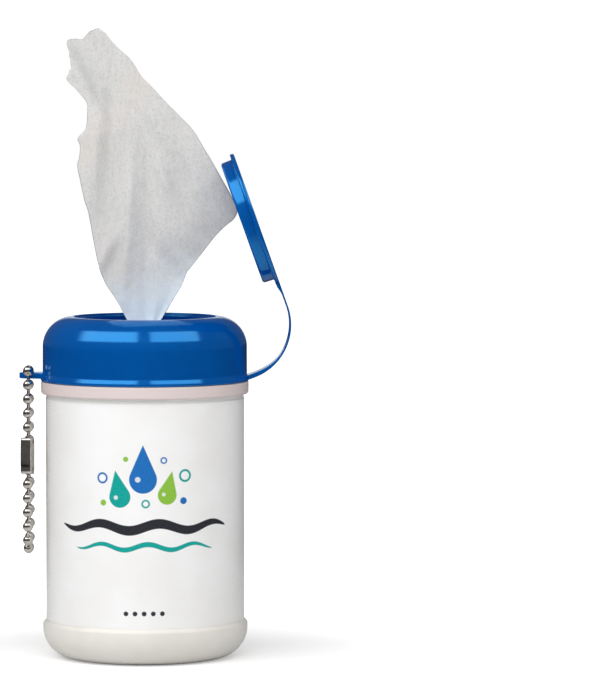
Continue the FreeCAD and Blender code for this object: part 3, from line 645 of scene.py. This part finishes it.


# Wipe: the sheet that stands out of the orifice, creased, its torn edge at the left

wipe = {
    "columns": 96, "rows": 168, "thickness": 0.3,
    "leftSide": [  # x and height, from the stem's end to the peak
        (-1.6, 59.6), (-1.7, 70), (-2.0, 75.2), (-3.2, 77.6), (-4.3, 79.4), (-6.0, 82.6), (-7.4, 84.9),
        (-9.3, 87.8), (-10.8, 92), (-12, 97.6), (-13.1, 104), (-14.1, 107.3), (-15, 111.5), (-15.7, 115.2),
        (-15.2, 117.4), (-15.1, 120.1), (-15.6, 121.3), (-15.2, 122.2), (-13.8, 123.7), (-13.4, 126.3),
        (-13.4, 129.5), (-14.1, 131), (-15.9, 133), (-18, 135.3), (-17.6, 136.9), (-17.1, 138.5),
        (-17.4, 140.3), (-17.8, 142.6), (-17.95, 144.4),
    ],
    "rightSide": [
        (1.6, 59.6), (1.7, 70), (2.0, 75.2), (2.9, 77.6), (3.9, 79.4), (5.3, 81.7), (7, 84.5), (8.6, 87.1),
        (9.8, 90.1), (10.8, 91.4), (13.5, 94.8), (16.3, 98.4), (18.6, 100.8), (21.0, 102.9), (21.7, 105.1),
        (20.3, 108.2), (18.2, 112), (16.3, 115.4), (13.9, 119.4), (11.4, 123.5), (8.8, 126.3), (5.1, 130),
        (1.9, 133.5), (-0.6, 136), (-2.2, 138.6), (-3.7, 140.6), (-5.9, 142.5), (-7.3, 143.9), (-9.1, 145.9),
        (-10.7, 147.0),
    ],
    "topZone": (0.94, 1.0), "topRise": 0.35, "riseZone": (0.45, 0.8),  # zones in shares of length and width
    "topDip": 0.9, "dipZone": (0.15, 0.5), "dipEnd": (0.5, 0.75),
    "gathers": 2.5, "gatherDepth": 0.2, "gatherTurn": 0.6, "gatherZone": (76, 93), "scoop": 0.15,
    "creases": [  # x, height, lean from upright, half length, half width, depth toward the front
        (-3.8, 103, 4, 17, 1.5, 1.0), (0.6, 100, 2, 16, 1.7, -1.0), (-7.6, 93.4, 28, 5, 1.9, -0.9),
        (-9.8, 92.6, 24, 5, 1.5, 0.5), (7.4, 110.5, 6, 6, 2.4, -0.5), (4.4, 113, -20, 8, 1.6, 0.7),
        (-15.2, 136.5, -24, 9, 1.6, -0.7), (-12.6, 137, -24, 9, 1.8, 0.7), (10.5, 97, -52, 10, 2.2, 0.2),
        (14.5, 104.5, -70, 8, 2.6, -0.15), (-11.5, 118, 6, 12, 1.8, 0.8), (-8.4, 116, 2, 13, 1.9, -0.7),
        (1.5, 126, -38, 12, 2.2, 0.7), (-3.5, 131, -34, 12, 2.6, -0.6), (5.5, 92, -38, 9, 1.9, -0.5),
    ],
    "bow": 0.9, "bowZone": (78, 100), "bowFade": (118, 146), "bowLoss": 0.6, "depthLimit": 3.3,
    "wrinkle": 0.5, "wrinkleSize": 7.0, "pucker": 0.07, "puckerSize": 1.6, "calmZone": (77, 90),
    "tearDepth": 0.35, "tearPitch": 0.9, "tearReach": 0.035,
    "tearZone": (112, 118), "tearLeast": 0.3, "tearFull": (131, 136),  # heights, up the left side
    "topTear": 0.15, "cornerTear": 0.5, "cornerZone": (0.15, 0.3),
}


def pathReader(points):  # gives the place at a share of the path's length, on a smooth curve
    line = [Vector(point) for point in points]
    lengths = [0.0]
    for first, second in zip(line, line[1:]):
        lengths.append(lengths[-1] + (second - first).length)

    def read(share):
        goal = clamp(share) * lengths[-1]
        index = 0
        while index < len(line) - 2 and lengths[index + 1] < goal:
            index += 1
        local = (goal - lengths[index]) / (lengths[index + 1] - lengths[index])
        before = line[max(index - 1, 0)]
        start, end = line[index], line[index + 1]
        after = line[min(index + 2, len(line) - 1)]
        square = 2 * before - 5 * start + 4 * end - after
        cube = 3 * start - before - 3 * end + after
        return 0.5 * (2 * start + (end - before) * local + square * local ** 2 + cube * local ** 3)

    return read


def wipeDepth(f, x, z, share):  # toward the front is negative y; 3.1 and 7.7 pick slices of the noise
    bowed = smoothShare(z, *f["bowZone"]) * (1 - f["bowLoss"] * smoothShare(z, *f["bowFade"]))
    depth = -f["bow"] * cos(pi * (share - 0.5)) * bowed
    gathered = 1 - smoothShare(z, *f["gatherZone"])
    depth += f["gatherDepth"] * gathered * sin(2 * pi * f["gathers"] * share + f["gatherTurn"])
    depth -= f["scoop"] * gathered * cos(2 * pi * share)
    for cx, cz, lean, halfLength, halfWidth, amount in f["creases"]:
        turn = radians(lean)
        along = (x - cx) * sin(turn) + (z - cz) * cos(turn)
        across = (x - cx) * cos(turn) - (z - cz) * sin(turn)
        if abs(along) < 2.5 * halfLength and abs(across) < 3 * halfWidth:
            depth -= amount * exp(-(along / halfLength) ** 2 - (across / halfWidth) ** 2)
    calm = smoothShare(z, *f["calmZone"])
    depth += f["wrinkle"] * calm * noise.noise(Vector((x, z * 0.6, 3.1)) / f["wrinkleSize"])
    depth += f["pucker"] * calm * noise.noise(Vector((x, z, 7.7)) / f["puckerSize"])
    return max(-f["depthLimit"], min(f["depthLimit"], depth))


def tear(f, x, y, z):  # how far a torn edge wanders
    return f["tearDepth"] * noise.noise(Vector((x, y, z)))


def buildWipe(f):
    left, right = pathReader(f["leftSide"]), pathReader(f["rightSide"])
    pitch = f["tearPitch"]
    bm = newGrid(f["columns"], f["rows"])
    sheetUv = bm.loops.layers.uv.new("cloth")
    shares = {vert: (vert.co.x + 0.5, vert.co.y + 0.5) for vert in bm.verts}
    for vert, (across, up) in shares.items():
        start, end = left(up), right(up)
        spot = start.lerp(end, across)
        top = smoothShare(up, *f["topZone"])
        dip = f["topDip"] * smoothShare(across, *f["dipZone"]) * (1 - smoothShare(across, *f["dipEnd"]))
        spot.y += top * (f["topRise"] * smoothShare(across, *f["riseZone"]) - dip)
        least = f["tearLeast"]
        torn = (1 - smoothShare(across, 0.0, f["tearReach"])) * smoothShare(spot.y, *f["tearZone"])
        torn *= least + (1 - least) * smoothShare(spot.y, *f["tearFull"])
        spot.x += torn * tear(f, 0.3, spot.y / pitch, 1.9)
        spot.y += torn * 0.5 * tear(f, 5.1, spot.y / pitch, 4.2)
        ragged = f["topTear"] + f["cornerTear"] * (1 - smoothShare(across, *f["cornerZone"]))
        spot.y += top * ragged * tear(f, spot.x / pitch, 2.2, 8.1)
        vert.co = (mm * spot.x, mm * wipeDepth(f, spot.x, spot.y, across), mm * spot.y)
    for face in bm.faces:
        for loop in face.loops:
            loop[sheetUv].uv = shares[loop.vert]
    area = sum(face.calc_area() for face in bm.faces)
    evenNormals(bm)
    thicken(bm, f["thickness"])
    piece = finishPiece("wipeSheet", bm, clothMaterial("wipeCloth", cloth, True), "wipe",
                        ["wipe_sheet"], weighted=False)
    return piece, area


wipePiece, wipeArea = buildWipe(wipe)
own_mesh(wipePiece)
print("wipe ready")


# Roll inside the canister, with the spiral of its layers on top, and the next wipe drawn up from its core

roll = {
    "core": 6.5, "rim": 20.9, "foot": 3.6, "top": 55.6, "turns": 120, "rings": 46,
    "ease": (0.1, 0.3), "footEase": (5.0, 0.4),  # inward and down or up
    "layer": 1.15, "rise": 0.22,
}


def buildRoll(f):
    inward, down = f["ease"]
    footInward, footUp = f["footEase"]
    width = f["rim"] - inward - f["core"]
    profile = [(f["core"] + width * index / f["rings"], f["top"]) for index in range(f["rings"] + 1)]
    profile += [(f["rim"], f["top"] - down), (f["rim"], f["foot"] + footUp),
                (f["rim"] - footInward, f["foot"]), (f["core"], f["foot"])]
    bm = spun(profile, f["turns"], closed=True)
    for vert in bm.verts:
        if vert.co.z > mm * (f["top"] - 0.01):
            radius = hypot(vert.co.x, vert.co.y) / mm
            turn = atan2(vert.co.y, vert.co.x) / (2 * pi)
            share = (radius - f["core"]) / f["layer"] + turn
            vert.co.z -= mm * f["rise"] * (0.5 + 0.5 * cos(2 * pi * share))
    finishPiece("wipeRoll", bm, clothMaterial("rollCloth", cloth, False), "canister",
                ["wipe_roll"], weighted=False)


buildRoll(roll)

tail = {
    "around": 96, "levels": 40, "foot": 41.0, "top": 73.6, "footRadius": 5.2, "topRadius": 2.6,
    "narrowing": (0.1, 1), "flutes": 6, "fluteShare": 0.16, "fluteSway": (1.2, 3), "slim": 0.02,
    "thickness": 0.3, "blendFrom": 52.0, "blendTo": 73.0, "flat": (0.036, 0.033),
}


def buildTail(f):
    bm = bmesh.new()
    bmesh.ops.create_circle(bm, segments=f["around"], radius=mm * f["footRadius"])
    shift(bm, 0, 0, f["foot"])
    ring = bm.edges[:]
    for level in range(f["levels"]):
        made = bmesh.ops.extrude_edge_only(bm, edges=ring)
        ring = [item for item in made["geom"] if isinstance(item, bmesh.types.BMEdge)]
        shift(bm, 0, 0, (f["top"] - f["foot"]) / f["levels"], freshVerts(made))
    sway, swayRate = f["fluteSway"]
    for vert in bm.verts:
        share = clamp((vert.co.z / mm - f["foot"]) / (f["top"] - f["foot"]))
        turn = atan2(vert.co.y, vert.co.x)
        radius = f["footRadius"] + (f["topRadius"] - f["footRadius"]) * smoothShare(share, *f["narrowing"])
        flute = sin(f["flutes"] * turn + sway * sin(swayRate * share))
        radius *= 1 + f["fluteShare"] * flute - f["slim"]
        vert.co.x, vert.co.y = mm * radius * cos(turn), mm * radius * sin(turn)
    evenNormals(bm)
    thicken(bm, f["thickness"])
    return finishPiece("wipeTail", bm, clothMaterial("tailCloth", cloth, False), None,
                       ["wipe_tail"], weighted=False)


tailPiece = buildTail(tail)
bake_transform(tailPiece)
print("roll and tail ready")


# Lid: a push-on skirt with a flared rim, a round shoulder, the seat for the cap's plug and the well round the
# orifice, with the chain's lug at the left and the strap's root at the right

lid = {
    "steps": 180, "foot": 65.0, "rim": 24.4, "waist": 23.94, "shoulder": 23.88, "top": 80.0,
    "flare": (0.55, 1.6),  # heights over the foot where the rim ends and the waist starts
    "round": 6.9, "land": 16.6, "seatDepth": 0.5, "well": 15.05, "floor": 75.3, "floorUnder": 74.3,
    "wellOuter": 16.05, "ceiling": 78.78, "bore": 22.68, "boreRound": 5.7, "leadTop": 65.5, "lead": 23.08,
    "orifice": 5.6, "petals": 6, "petalInner": 2.5, "petalOverlap": 0.05, "slit": 0.6, "petalDrop": 0.06,
    "blue": paint(0, 83, 166), "deep": paint(0, 77, 156), "tint": (0.09, 0.52, 1.0, 1.0),
    "cloudSize": 7.0, "speckSize": 0.5, "swellSize": 3.2, "speckGloss": (0.35, 0.7, 0.05, 0.1),
}


def blueMaterial(f):
    material, board, shader = newMaterial("blueGloss", {
        "Roughness": 0.12, "IOR": 2.0, "Specular IOR Level": 1.0, "Specular Tint": f["tint"]})
    place = board.place()
    cloud = board.smooth(board.grain(place, f["cloudSize"]), 0.35, 0.7)
    speck = board.grain(place, f["speckSize"], 3.0)
    colour = board.tint(cloud * 0.5 + board.smooth(speck, 0.5, 0.75) * 0.3, f["blue"], f["deep"])
    swell = board.grain(place, f["swellSize"], 1.0)
    feed(board, shader, {"Base Color": colour, "Roughness": board.ramp(speck, *f["speckGloss"]),
                         "Normal": board.bump(swell + speck * 0.12, 0.02, 0.4)})
    return material


blueGloss = blueMaterial(lid)


def buildLid(f):
    rimTop, waistFoot = (f["foot"] + rise for rise in f["flare"])
    outer = [
        (f["lead"], f["foot"], 0.12, 2), (f["rim"], f["foot"], 0.3, 4), (f["rim"], rimTop, 0.15, 3),
        (f["waist"], waistFoot, 0.2, 3), (f["shoulder"], f["top"], f["round"], 18),
        (f["land"], f["top"], 0.22, 3), (f["land"], f["top"] - f["seatDepth"], 0.12, 2),
        (f["well"], f["top"] - f["seatDepth"], 0.3, 3), (f["well"], f["floor"], 1.0, 6),
    ]
    inner = [
        (f["orifice"], f["floor"]), (f["orifice"], f["floorUnder"]),
        (f["wellOuter"], f["floorUnder"], 0.8, 4),
        (f["wellOuter"], f["ceiling"], 0.5, 3), (f["bore"], f["ceiling"], f["boreRound"], 10),
        (f["bore"], f["leadTop"]),
    ]
    bm = spun(outer + inner, f["steps"], closed=True)
    addPetals(bm, f)
    finishPiece("lidShell", bm, blueGloss, "lid", ["lid_shell"])


def addPetals(bm, f):
    petal = newGrid(14, 6)
    halfTurn = pi / f["petals"]
    width = f["orifice"] + f["petalOverlap"] - f["petalInner"]
    for vert in petal.verts:
        across, outward = vert.co.x * 2, vert.co.y + 0.5
        radius = f["petalInner"] + width * outward
        reach = halfTurn - asin(f["slit"] / 2 / radius)
        turn = across * reach
        vert.co = (mm * radius * cos(turn), mm * radius * sin(turn), mm * (f["floor"] - f["petalDrop"]))
    evenNormals(petal)
    faceTo(petal, petal.faces[:][0], Vector((0, 0, 1)))
    thicken(petal, f["floor"] - f["floorUnder"] - 2 * f["petalDrop"])
    template = asMesh(petal, "petal")
    for index in range(f["petals"]):
        addCopy(bm, template, Matrix.Rotation(index * 2 * halfTurn, 4, "Z"))
    bpy.data.meshes.remove(template)


buildLid(lid)

lug = {
    "hole": (-27.2, 0.0), "holeRadius": 1.35, "end": 2.2, "root": -23.5, "rootHalf": 3.6, "foot": 65.5,
    "flankShare": 0.6, "flankPower": 1.8,  # the flank's part of the half turn, and how it widens
    "thickness": 1.4, "segments": 72, "ease": 0.25,
}


def buildLug(f):
    bm = bmesh.new()
    bmesh.ops.create_circle(bm, segments=f["segments"], radius=mm * f["holeRadius"])
    inner = bm.edges[:]
    made = bmesh.ops.create_circle(bm, segments=f["segments"], radius=mm * f["end"])["verts"]
    outer = [edge for edge in bm.edges if edge not in inner]
    reach = f["root"] - f["hole"][0]
    flankShare = f["flankShare"]
    for vert in made:
        turn = atan2(vert.co.y, vert.co.x)
        if abs(turn) < pi / 2:
            side = 1 if turn > 0 else -1
            share = 1 - abs(turn) / (pi / 2)
            flank = clamp(share / flankShare)
            half = f["end"] + (f["rootHalf"] - f["end"]) * flank ** f["flankPower"]
            vert.co.x = mm * reach * flank
            vert.co.y = mm * side * half * (1 - clamp((share - flankShare) / (1 - flankShare)))
    bmesh.ops.bridge_loops(bm, edges=inner + outer)
    shift(bm, *f["hole"], f["foot"] + f["thickness"])
    evenNormals(bm)
    faceTo(bm, bm.faces[:][0], Vector((0, 0, 1)))
    thicken(bm, f["thickness"])
    evenNormals(bm)
    easeSharp(bm, f["ease"], 3, least=50)
    finishPiece("chainLug", bm, blueGloss, "lid")


buildLug(lug)
print("lid ready")


# Strap: a thin band bent in one arc from the lid's rim to the cap, thicker at its root, and the flip cap

strap = {
    "centre": (21.096, 78.096), "outer": 13.17, "width": 7.0, "rootAngle": -70.0, "bendAngle": 19.6,
    "thinAngle": -30.0, "rootThickness": 1.05, "thickness": 0.45, "rootRun": 1.9, "steps": 56,
    "straight": 5.5, "gusset": 2.6, "gussetThickness": 0.95, "intoCap": 0.7, "ease": 0.12,
}


def buildStrap(f):
    bm = newGrid(1, 8)
    for vert in bm.verts:  # the band's section, before it is turned to the root and swept along the arc
        radius = f["outer"] - f["rootThickness"] * (0.5 - vert.co.x)
        vert.co = (mm * radius, mm * f["width"] * vert.co.y, 0)
    cx, cz = f["centre"]
    start, end = radians(f["rootAngle"]), radians(f["bendAngle"])
    bmesh.ops.rotate(bm, cent=(0, 0, 0), matrix=Matrix.Rotation(-start, 3, "Y"), verts=bm.verts)
    bmesh.ops.spin(bm, geom=bm.faces[:] + bm.edges[:] + bm.verts[:], cent=(0, 0, 0), axis=(0, -1, 0),
                   angle=end - start, steps=f["steps"])
    for vert in bm.verts:
        turn = atan2(vert.co.z, vert.co.x)
        radius = hypot(vert.co.x, vert.co.z) / mm
        share = smoothShare(turn, start, radians(f["thinAngle"]))
        thin = 1 + (f["thickness"] / f["rootThickness"] - 1) * share
        radius = f["outer"] - (f["outer"] - radius) * thin
        vert.co.x, vert.co.z = mm * radius * cos(turn), mm * radius * sin(turn)
    bmesh.ops.remove_doubles(bm, verts=bm.verts, dist=weldGap)
    evenNormals(bm)
    direction = Vector((sin(start), 0, -cos(start)))
    caps = []
    for face in bm.faces:
        middle = face.calc_center_median()
        if face.normal.dot(direction) > 0.99 and atan2(middle.z, middle.x) < start + 0.01:
            caps.append(face)
    made = bmesh.ops.extrude_face_region(bm, geom=caps)
    shift(bm, *(direction * f["rootRun"]), freshVerts(made))
    bmesh.ops.delete(bm, geom=caps, context="FACES")
    shift(bm, cx, 0, cz)
    evenNormals(bm)
    easeSharp(bm, f["ease"], 2, least=60)
    piece = finishPiece("strapBand", bm, blueGloss, None, ["strap"])
    rootSpot, bendSpot = ((mm * (cx + f["outer"] * cos(turn)), 0, mm * (cz + f["outer"] * sin(turn)))
                          for turn in (start, end))
    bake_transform(piece)
    return bendSpot


def buildStrapTip(f, bendSpot):
    tilt = radians(f["bendAngle"])
    upward = Vector((-sin(tilt), 0, cos(tilt)))
    inward = Vector((-cos(tilt), 0, -sin(tilt)))
    length = f["straight"] + f["intoCap"]
    bm = newGrid(8, 24)
    for vert in bm.verts:
        run = (vert.co.y + 0.5) * length
        vert.co = Vector(bendSpot) + upward * mm * run + Vector((0, mm * f["width"] * vert.co.x, 0))
    evenNormals(bm)
    faceTo(bm, bm.faces[:][0], -inward)
    thicken(bm, f["thickness"])
    for vert in bm.verts:
        offset = vert.co - Vector(bendSpot)
        run, depth = offset.dot(upward) / mm, offset.dot(inward) / mm
        if depth > f["thickness"] / 2:
            share = smoothShare(run, f["straight"] - f["gusset"], f["straight"])
            vert.co += inward * mm * share * (f["gussetThickness"] - f["thickness"])
    evenNormals(bm)
    easeSharp(bm, f["ease"], 2, least=60)
    piece = finishPiece("strapTip", bm, blueGloss, None, ["strap_tip"])
    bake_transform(piece)


buildStrapTip(strap, buildStrap(strap))

cap = {
    "face": (26.2232, 102.9563), "tilt": 19.6, "steps": 144, "flange": 16.2, "edge": 1.0, "taper": 0.15,
    "plugRoot": 14.9, "plugTip": 14.8, "plugReach": 3.7, "wall": 1.0, "ease": 0.55,
}


def buildCap(f):
    rim = f["flange"]
    bm = spun([
        (0, 0), (rim - f["taper"], 0, 0.28, 4), (rim, -f["edge"], 0.2, 3),
        (f["plugRoot"], -f["edge"], 0.2, 2), (f["plugTip"], -f["plugReach"], f["ease"], 5),
        (f["plugTip"] - f["wall"], -f["plugReach"], 0.3, 3),
        (f["plugRoot"] - f["wall"], -f["edge"], 0.3, 3), (0, -f["edge"]),
    ], f["steps"])
    tilt = radians(f["tilt"])
    x, z = f["face"]
    place = turned(Vector((cos(tilt), 0, sin(tilt))), (mm * x, 0, mm * z))
    bmesh.ops.transform(bm, matrix=place, verts=bm.verts)
    finishPiece("flipCap", bm, blueGloss, "flip_cap", ["flip_cap"])


buildCap(cap)
print("strap and cap ready")


# Ball chain: hollow beads, the link pins between them and a folded clasp

chain = {
    "bead": 1.2, "beadRows": 14, "beadSteps": 24, "hole": 0.46, "lip": 0.12,
    "mouth": (1.4, 2.2),  # how deep its edge and its floor lie, in lips
    "pin": 0.32, "pinWaist": (0.94, 0.3), "pinSteps": 12, "reach": 0.3,
    "linked": 2.6,    # a bead and a pin that are further apart don't meet
    "claspGap": 0.9,  # the bare length of a pin that runs into the clasp
    "nickel": paint(214, 209, 204), "wearAndShade": paint(186, 180, 172),
    "stainSize": 1.4, "scratchSize": 0.25, "gloss": (0.04, 0.03, 0.03),  # by stain, by scratch, least
}

clasp = {
    "width": 2.7, "front": 1.55, "back": 1.05, "wall": 0.26, "length": 8.5, "turn": 20.8,
    "slot": 1.92, "ease": 0.45, "seat": 0.59,
    "swell": 0.22, "swellPeak": 0.4, "curl": 0.5, "curlFrom": 0.83, "narrowing": 0.12,
    "levels": (0, 0.3, 0.6, 0.83, 0.89, 0.94, 0.98),  # shares of the half length where rows of points are cut
}


def nickelMaterial(f):
    material, board, shader = newMaterial("nickel", {"Metallic": 1.0, "Roughness": 0.2})
    place = board.place()
    stain = board.smooth(board.grain(place, f["stainSize"], 3.0), 0.4, 0.7)
    scratch = board.grain(place, f["scratchSize"], 3.0, (1, 1, 0.4))
    byStain, byScratch, least = f["gloss"]
    feed(board, shader, {"Base Color": board.tint(stain * 0.7, f["nickel"], f["wearAndShade"]),
                         "Roughness": stain * byStain + scratch * byScratch + least,
                         "Normal": board.bump(scratch, 0.006, 0.5)})
    return material


nickel = nickelMaterial(chain)


def islands(nodeName):  # the middle of each loose solid of a node
    bm = bmesh.new()
    bm.from_mesh(frame["nodes"][nodeName].data)
    bmesh.ops.remove_doubles(bm, verts=bm.verts, dist=1e-6)
    left = set(bm.verts)
    centres = []
    while left:
        stack = [left.pop()]
        found = []
        while stack:
            vert = stack.pop()
            found.append(vert.co.copy())
            for edge in vert.link_edges:
                other = edge.other_vert(vert)
                if other in left:
                    left.discard(other)
                    stack.append(other)
        low = Vector(min(spot[axis] for spot in found) for axis in range(3))
        high = Vector(max(spot[axis] for spot in found) for axis in range(3))
        centres.append((low + high) / 2)
    bm.free()
    return sorted(centres, key=lambda spot: (round(spot.z, 6), round(spot.x, 6), round(spot.y, 6)))


def nearestTwo(spots, middle):
    return sorted(spots, key=lambda spot: (spot - middle).length)[:2]


def beadTemplate(f):
    poleTurn = asin(f["hole"] / f["bead"])
    arc = []
    for index in range(f["beadRows"] + 1):
        turn = poleTurn + (pi - 2 * poleTurn) * index / f["beadRows"]
        arc.append((f["bead"] * sin(turn), f["bead"] * cos(turn)))
    edge, floor = (f["bead"] * cos(poleTurn) - depth * f["lip"] for depth in f["mouth"])
    inner = f["hole"] - f["lip"]
    profile = [(0, floor), (inner, edge)] + arc + [(inner, -edge), (0, -floor)]
    return asMesh(spun(profile, f["beadSteps"]), "bead")


def pinTemplate(f, length):
    half = length / 2
    radius = f["pin"]
    thin, waist = radius * f["pinWaist"][0], half * f["pinWaist"][1]
    profile = [(0, half), (radius, half), (thin, waist), (thin, -waist), (radius, -half), (0, -half)]
    return asMesh(spun(profile, f["pinSteps"]), "pin")


def buildChain(f):
    parts = ("saddle", "upper", "lower")
    beads = {part: islands("chain_" + part + "_beads") for part in parts}
    pins = {part: islands("chain_" + part + "_pins") for part in parts}
    allBeads = [spot for part in parts for spot in beads[part]]
    allPins = [spot for part in parts for spot in pins[part]]
    template = beadTemplate(f)
    for part in parts:
        bm = bmesh.new()
        for spot in beads[part]:
            near = nearestTwo(allPins, spot)
            axis = near[0] - spot
            if (near[1] - spot).length < mm * f["linked"]:
                axis = near[0] - near[1]
            addCopy(bm, template, turned(axis, spot))
        finishPiece(part + "Beads", bm, nickel, "chain_" + part, ["chain_" + part + "_beads"],
                    weighted=False)
        bm = bmesh.new()
        for spot in pins[part]:
            near = nearestTwo(allBeads, spot)
            gap = (near[1] - near[0]).length / mm - 2 * f["bead"] + 2 * f["reach"]
            axis = near[1] - near[0]
            if (near[1] - spot).length > mm * f["linked"]:  # a pin into the clasp
                axis = near[0] - spot
                gap = f["claspGap"] + 2 * f["reach"]
            pin = pinTemplate(f, gap)
            addCopy(bm, pin, turned(axis, spot))
            bpy.data.meshes.remove(pin)
        finishPiece(part + "Pins", bm, nickel, "chain_" + part, ["chain_" + part + "_pins"])
    bpy.data.meshes.remove(template)


def claspWallHoles(bm, face, f, held):  # opens a round seat in a side wall for each held bead
    outline = face.edges[:]
    side = face.calc_center_median().x
    rims = []
    for level in (-held, held):
        place = Matrix.Translation((side, 0, level)) @ Matrix.Rotation(pi / 2, 4, "Y")
        known = set(bm.edges)
        bmesh.ops.create_circle(bm, segments=20, radius=mm * f["seat"], matrix=place)
        rims += [edge for edge in bm.edges if edge not in known]
    bmesh.ops.delete(bm, geom=[face], context="FACES_ONLY")
    bmesh.ops.triangle_fill(bm, use_beauty=True, use_dissolve=False, edges=outline + rims)


def buildClasp(f):
    low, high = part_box("chain_clasp")
    first, second = nearestTwo(islands("chain_upper_beads"), (Vector(low) + Vector(high)) / 2)
    upper, lower = (first, second) if first.z > second.z else (second, first)
    held = (upper - lower).length / 2
    half, front, back, lip, reach = f["width"] / 2, f["front"], f["back"], f["slot"] / 2, f["length"] / 2
    bm = bmesh.new()
    outline = [(lip, back), (half, back), (half, -front), (-half, -front), (-half, back), (-lip, back)]
    points = [bm.verts.new((mm * x, mm * y, -mm * reach)) for x, y in outline]
    strips = [bm.edges.new(pair) for pair in zip(points, points[1:])]
    made = bmesh.ops.extrude_edge_only(bm, edges=strips)
    shift(bm, 0, 0, f["length"], freshVerts(made))
    easeEdges(bm, [edge for edge in bm.edges if len(edge.link_faces) == 2], f["ease"], 5, clamped=False)
    evenNormals(bm)
    for face in [face for face in bm.faces if abs(face.normal.x) > 0.999]:
        claspWallHoles(bm, face, f, held)
    evenNormals(bm)
    closed = min(bm.faces, key=lambda face: face.calc_center_median().y)
    faceTo(bm, closed, Vector((0, -1, 0)))
    for level in f["levels"]:
        for side in (-1, 1):
            bmesh.ops.bisect_plane(bm, geom=bm.verts[:] + bm.edges[:] + bm.faces[:], dist=weldGap,
                                   plane_co=(0, 0, side * level * mm * reach), plane_no=(0, 0, 1))
    for vert in bm.verts:
        level = abs(vert.co.z) / (mm * reach)
        bend = 1 - (1 - clamp((level - f["curlFrom"]) / (1 - f["curlFrom"])) ** 2) ** 0.5
        forward = clamp(-vert.co.y / (mm * front))
        vert.co.y -= mm * forward * (f["swell"] * (f["swellPeak"] - level * level) - f["curl"] * bend)
        vert.co.x *= 1 - f["narrowing"] * bend
    thicken(bm, f["wall"])
    axis = (upper - lower).normalized()
    backward = Vector((sin(radians(f["turn"])), cos(radians(f["turn"])), 0))
    across = backward.cross(axis).normalized()
    turn = Matrix((across, axis.cross(across), axis)).transposed().to_4x4()
    bmesh.ops.transform(bm, matrix=Matrix.Translation((upper + lower) / 2) @ turn, verts=bm.verts)
    finishPiece("claspStrip", bm, nickel, "chain_upper", ["chain_clasp"])


buildChain(chain)
buildClasp(clasp)
print("chain ready")

print("scene ready")
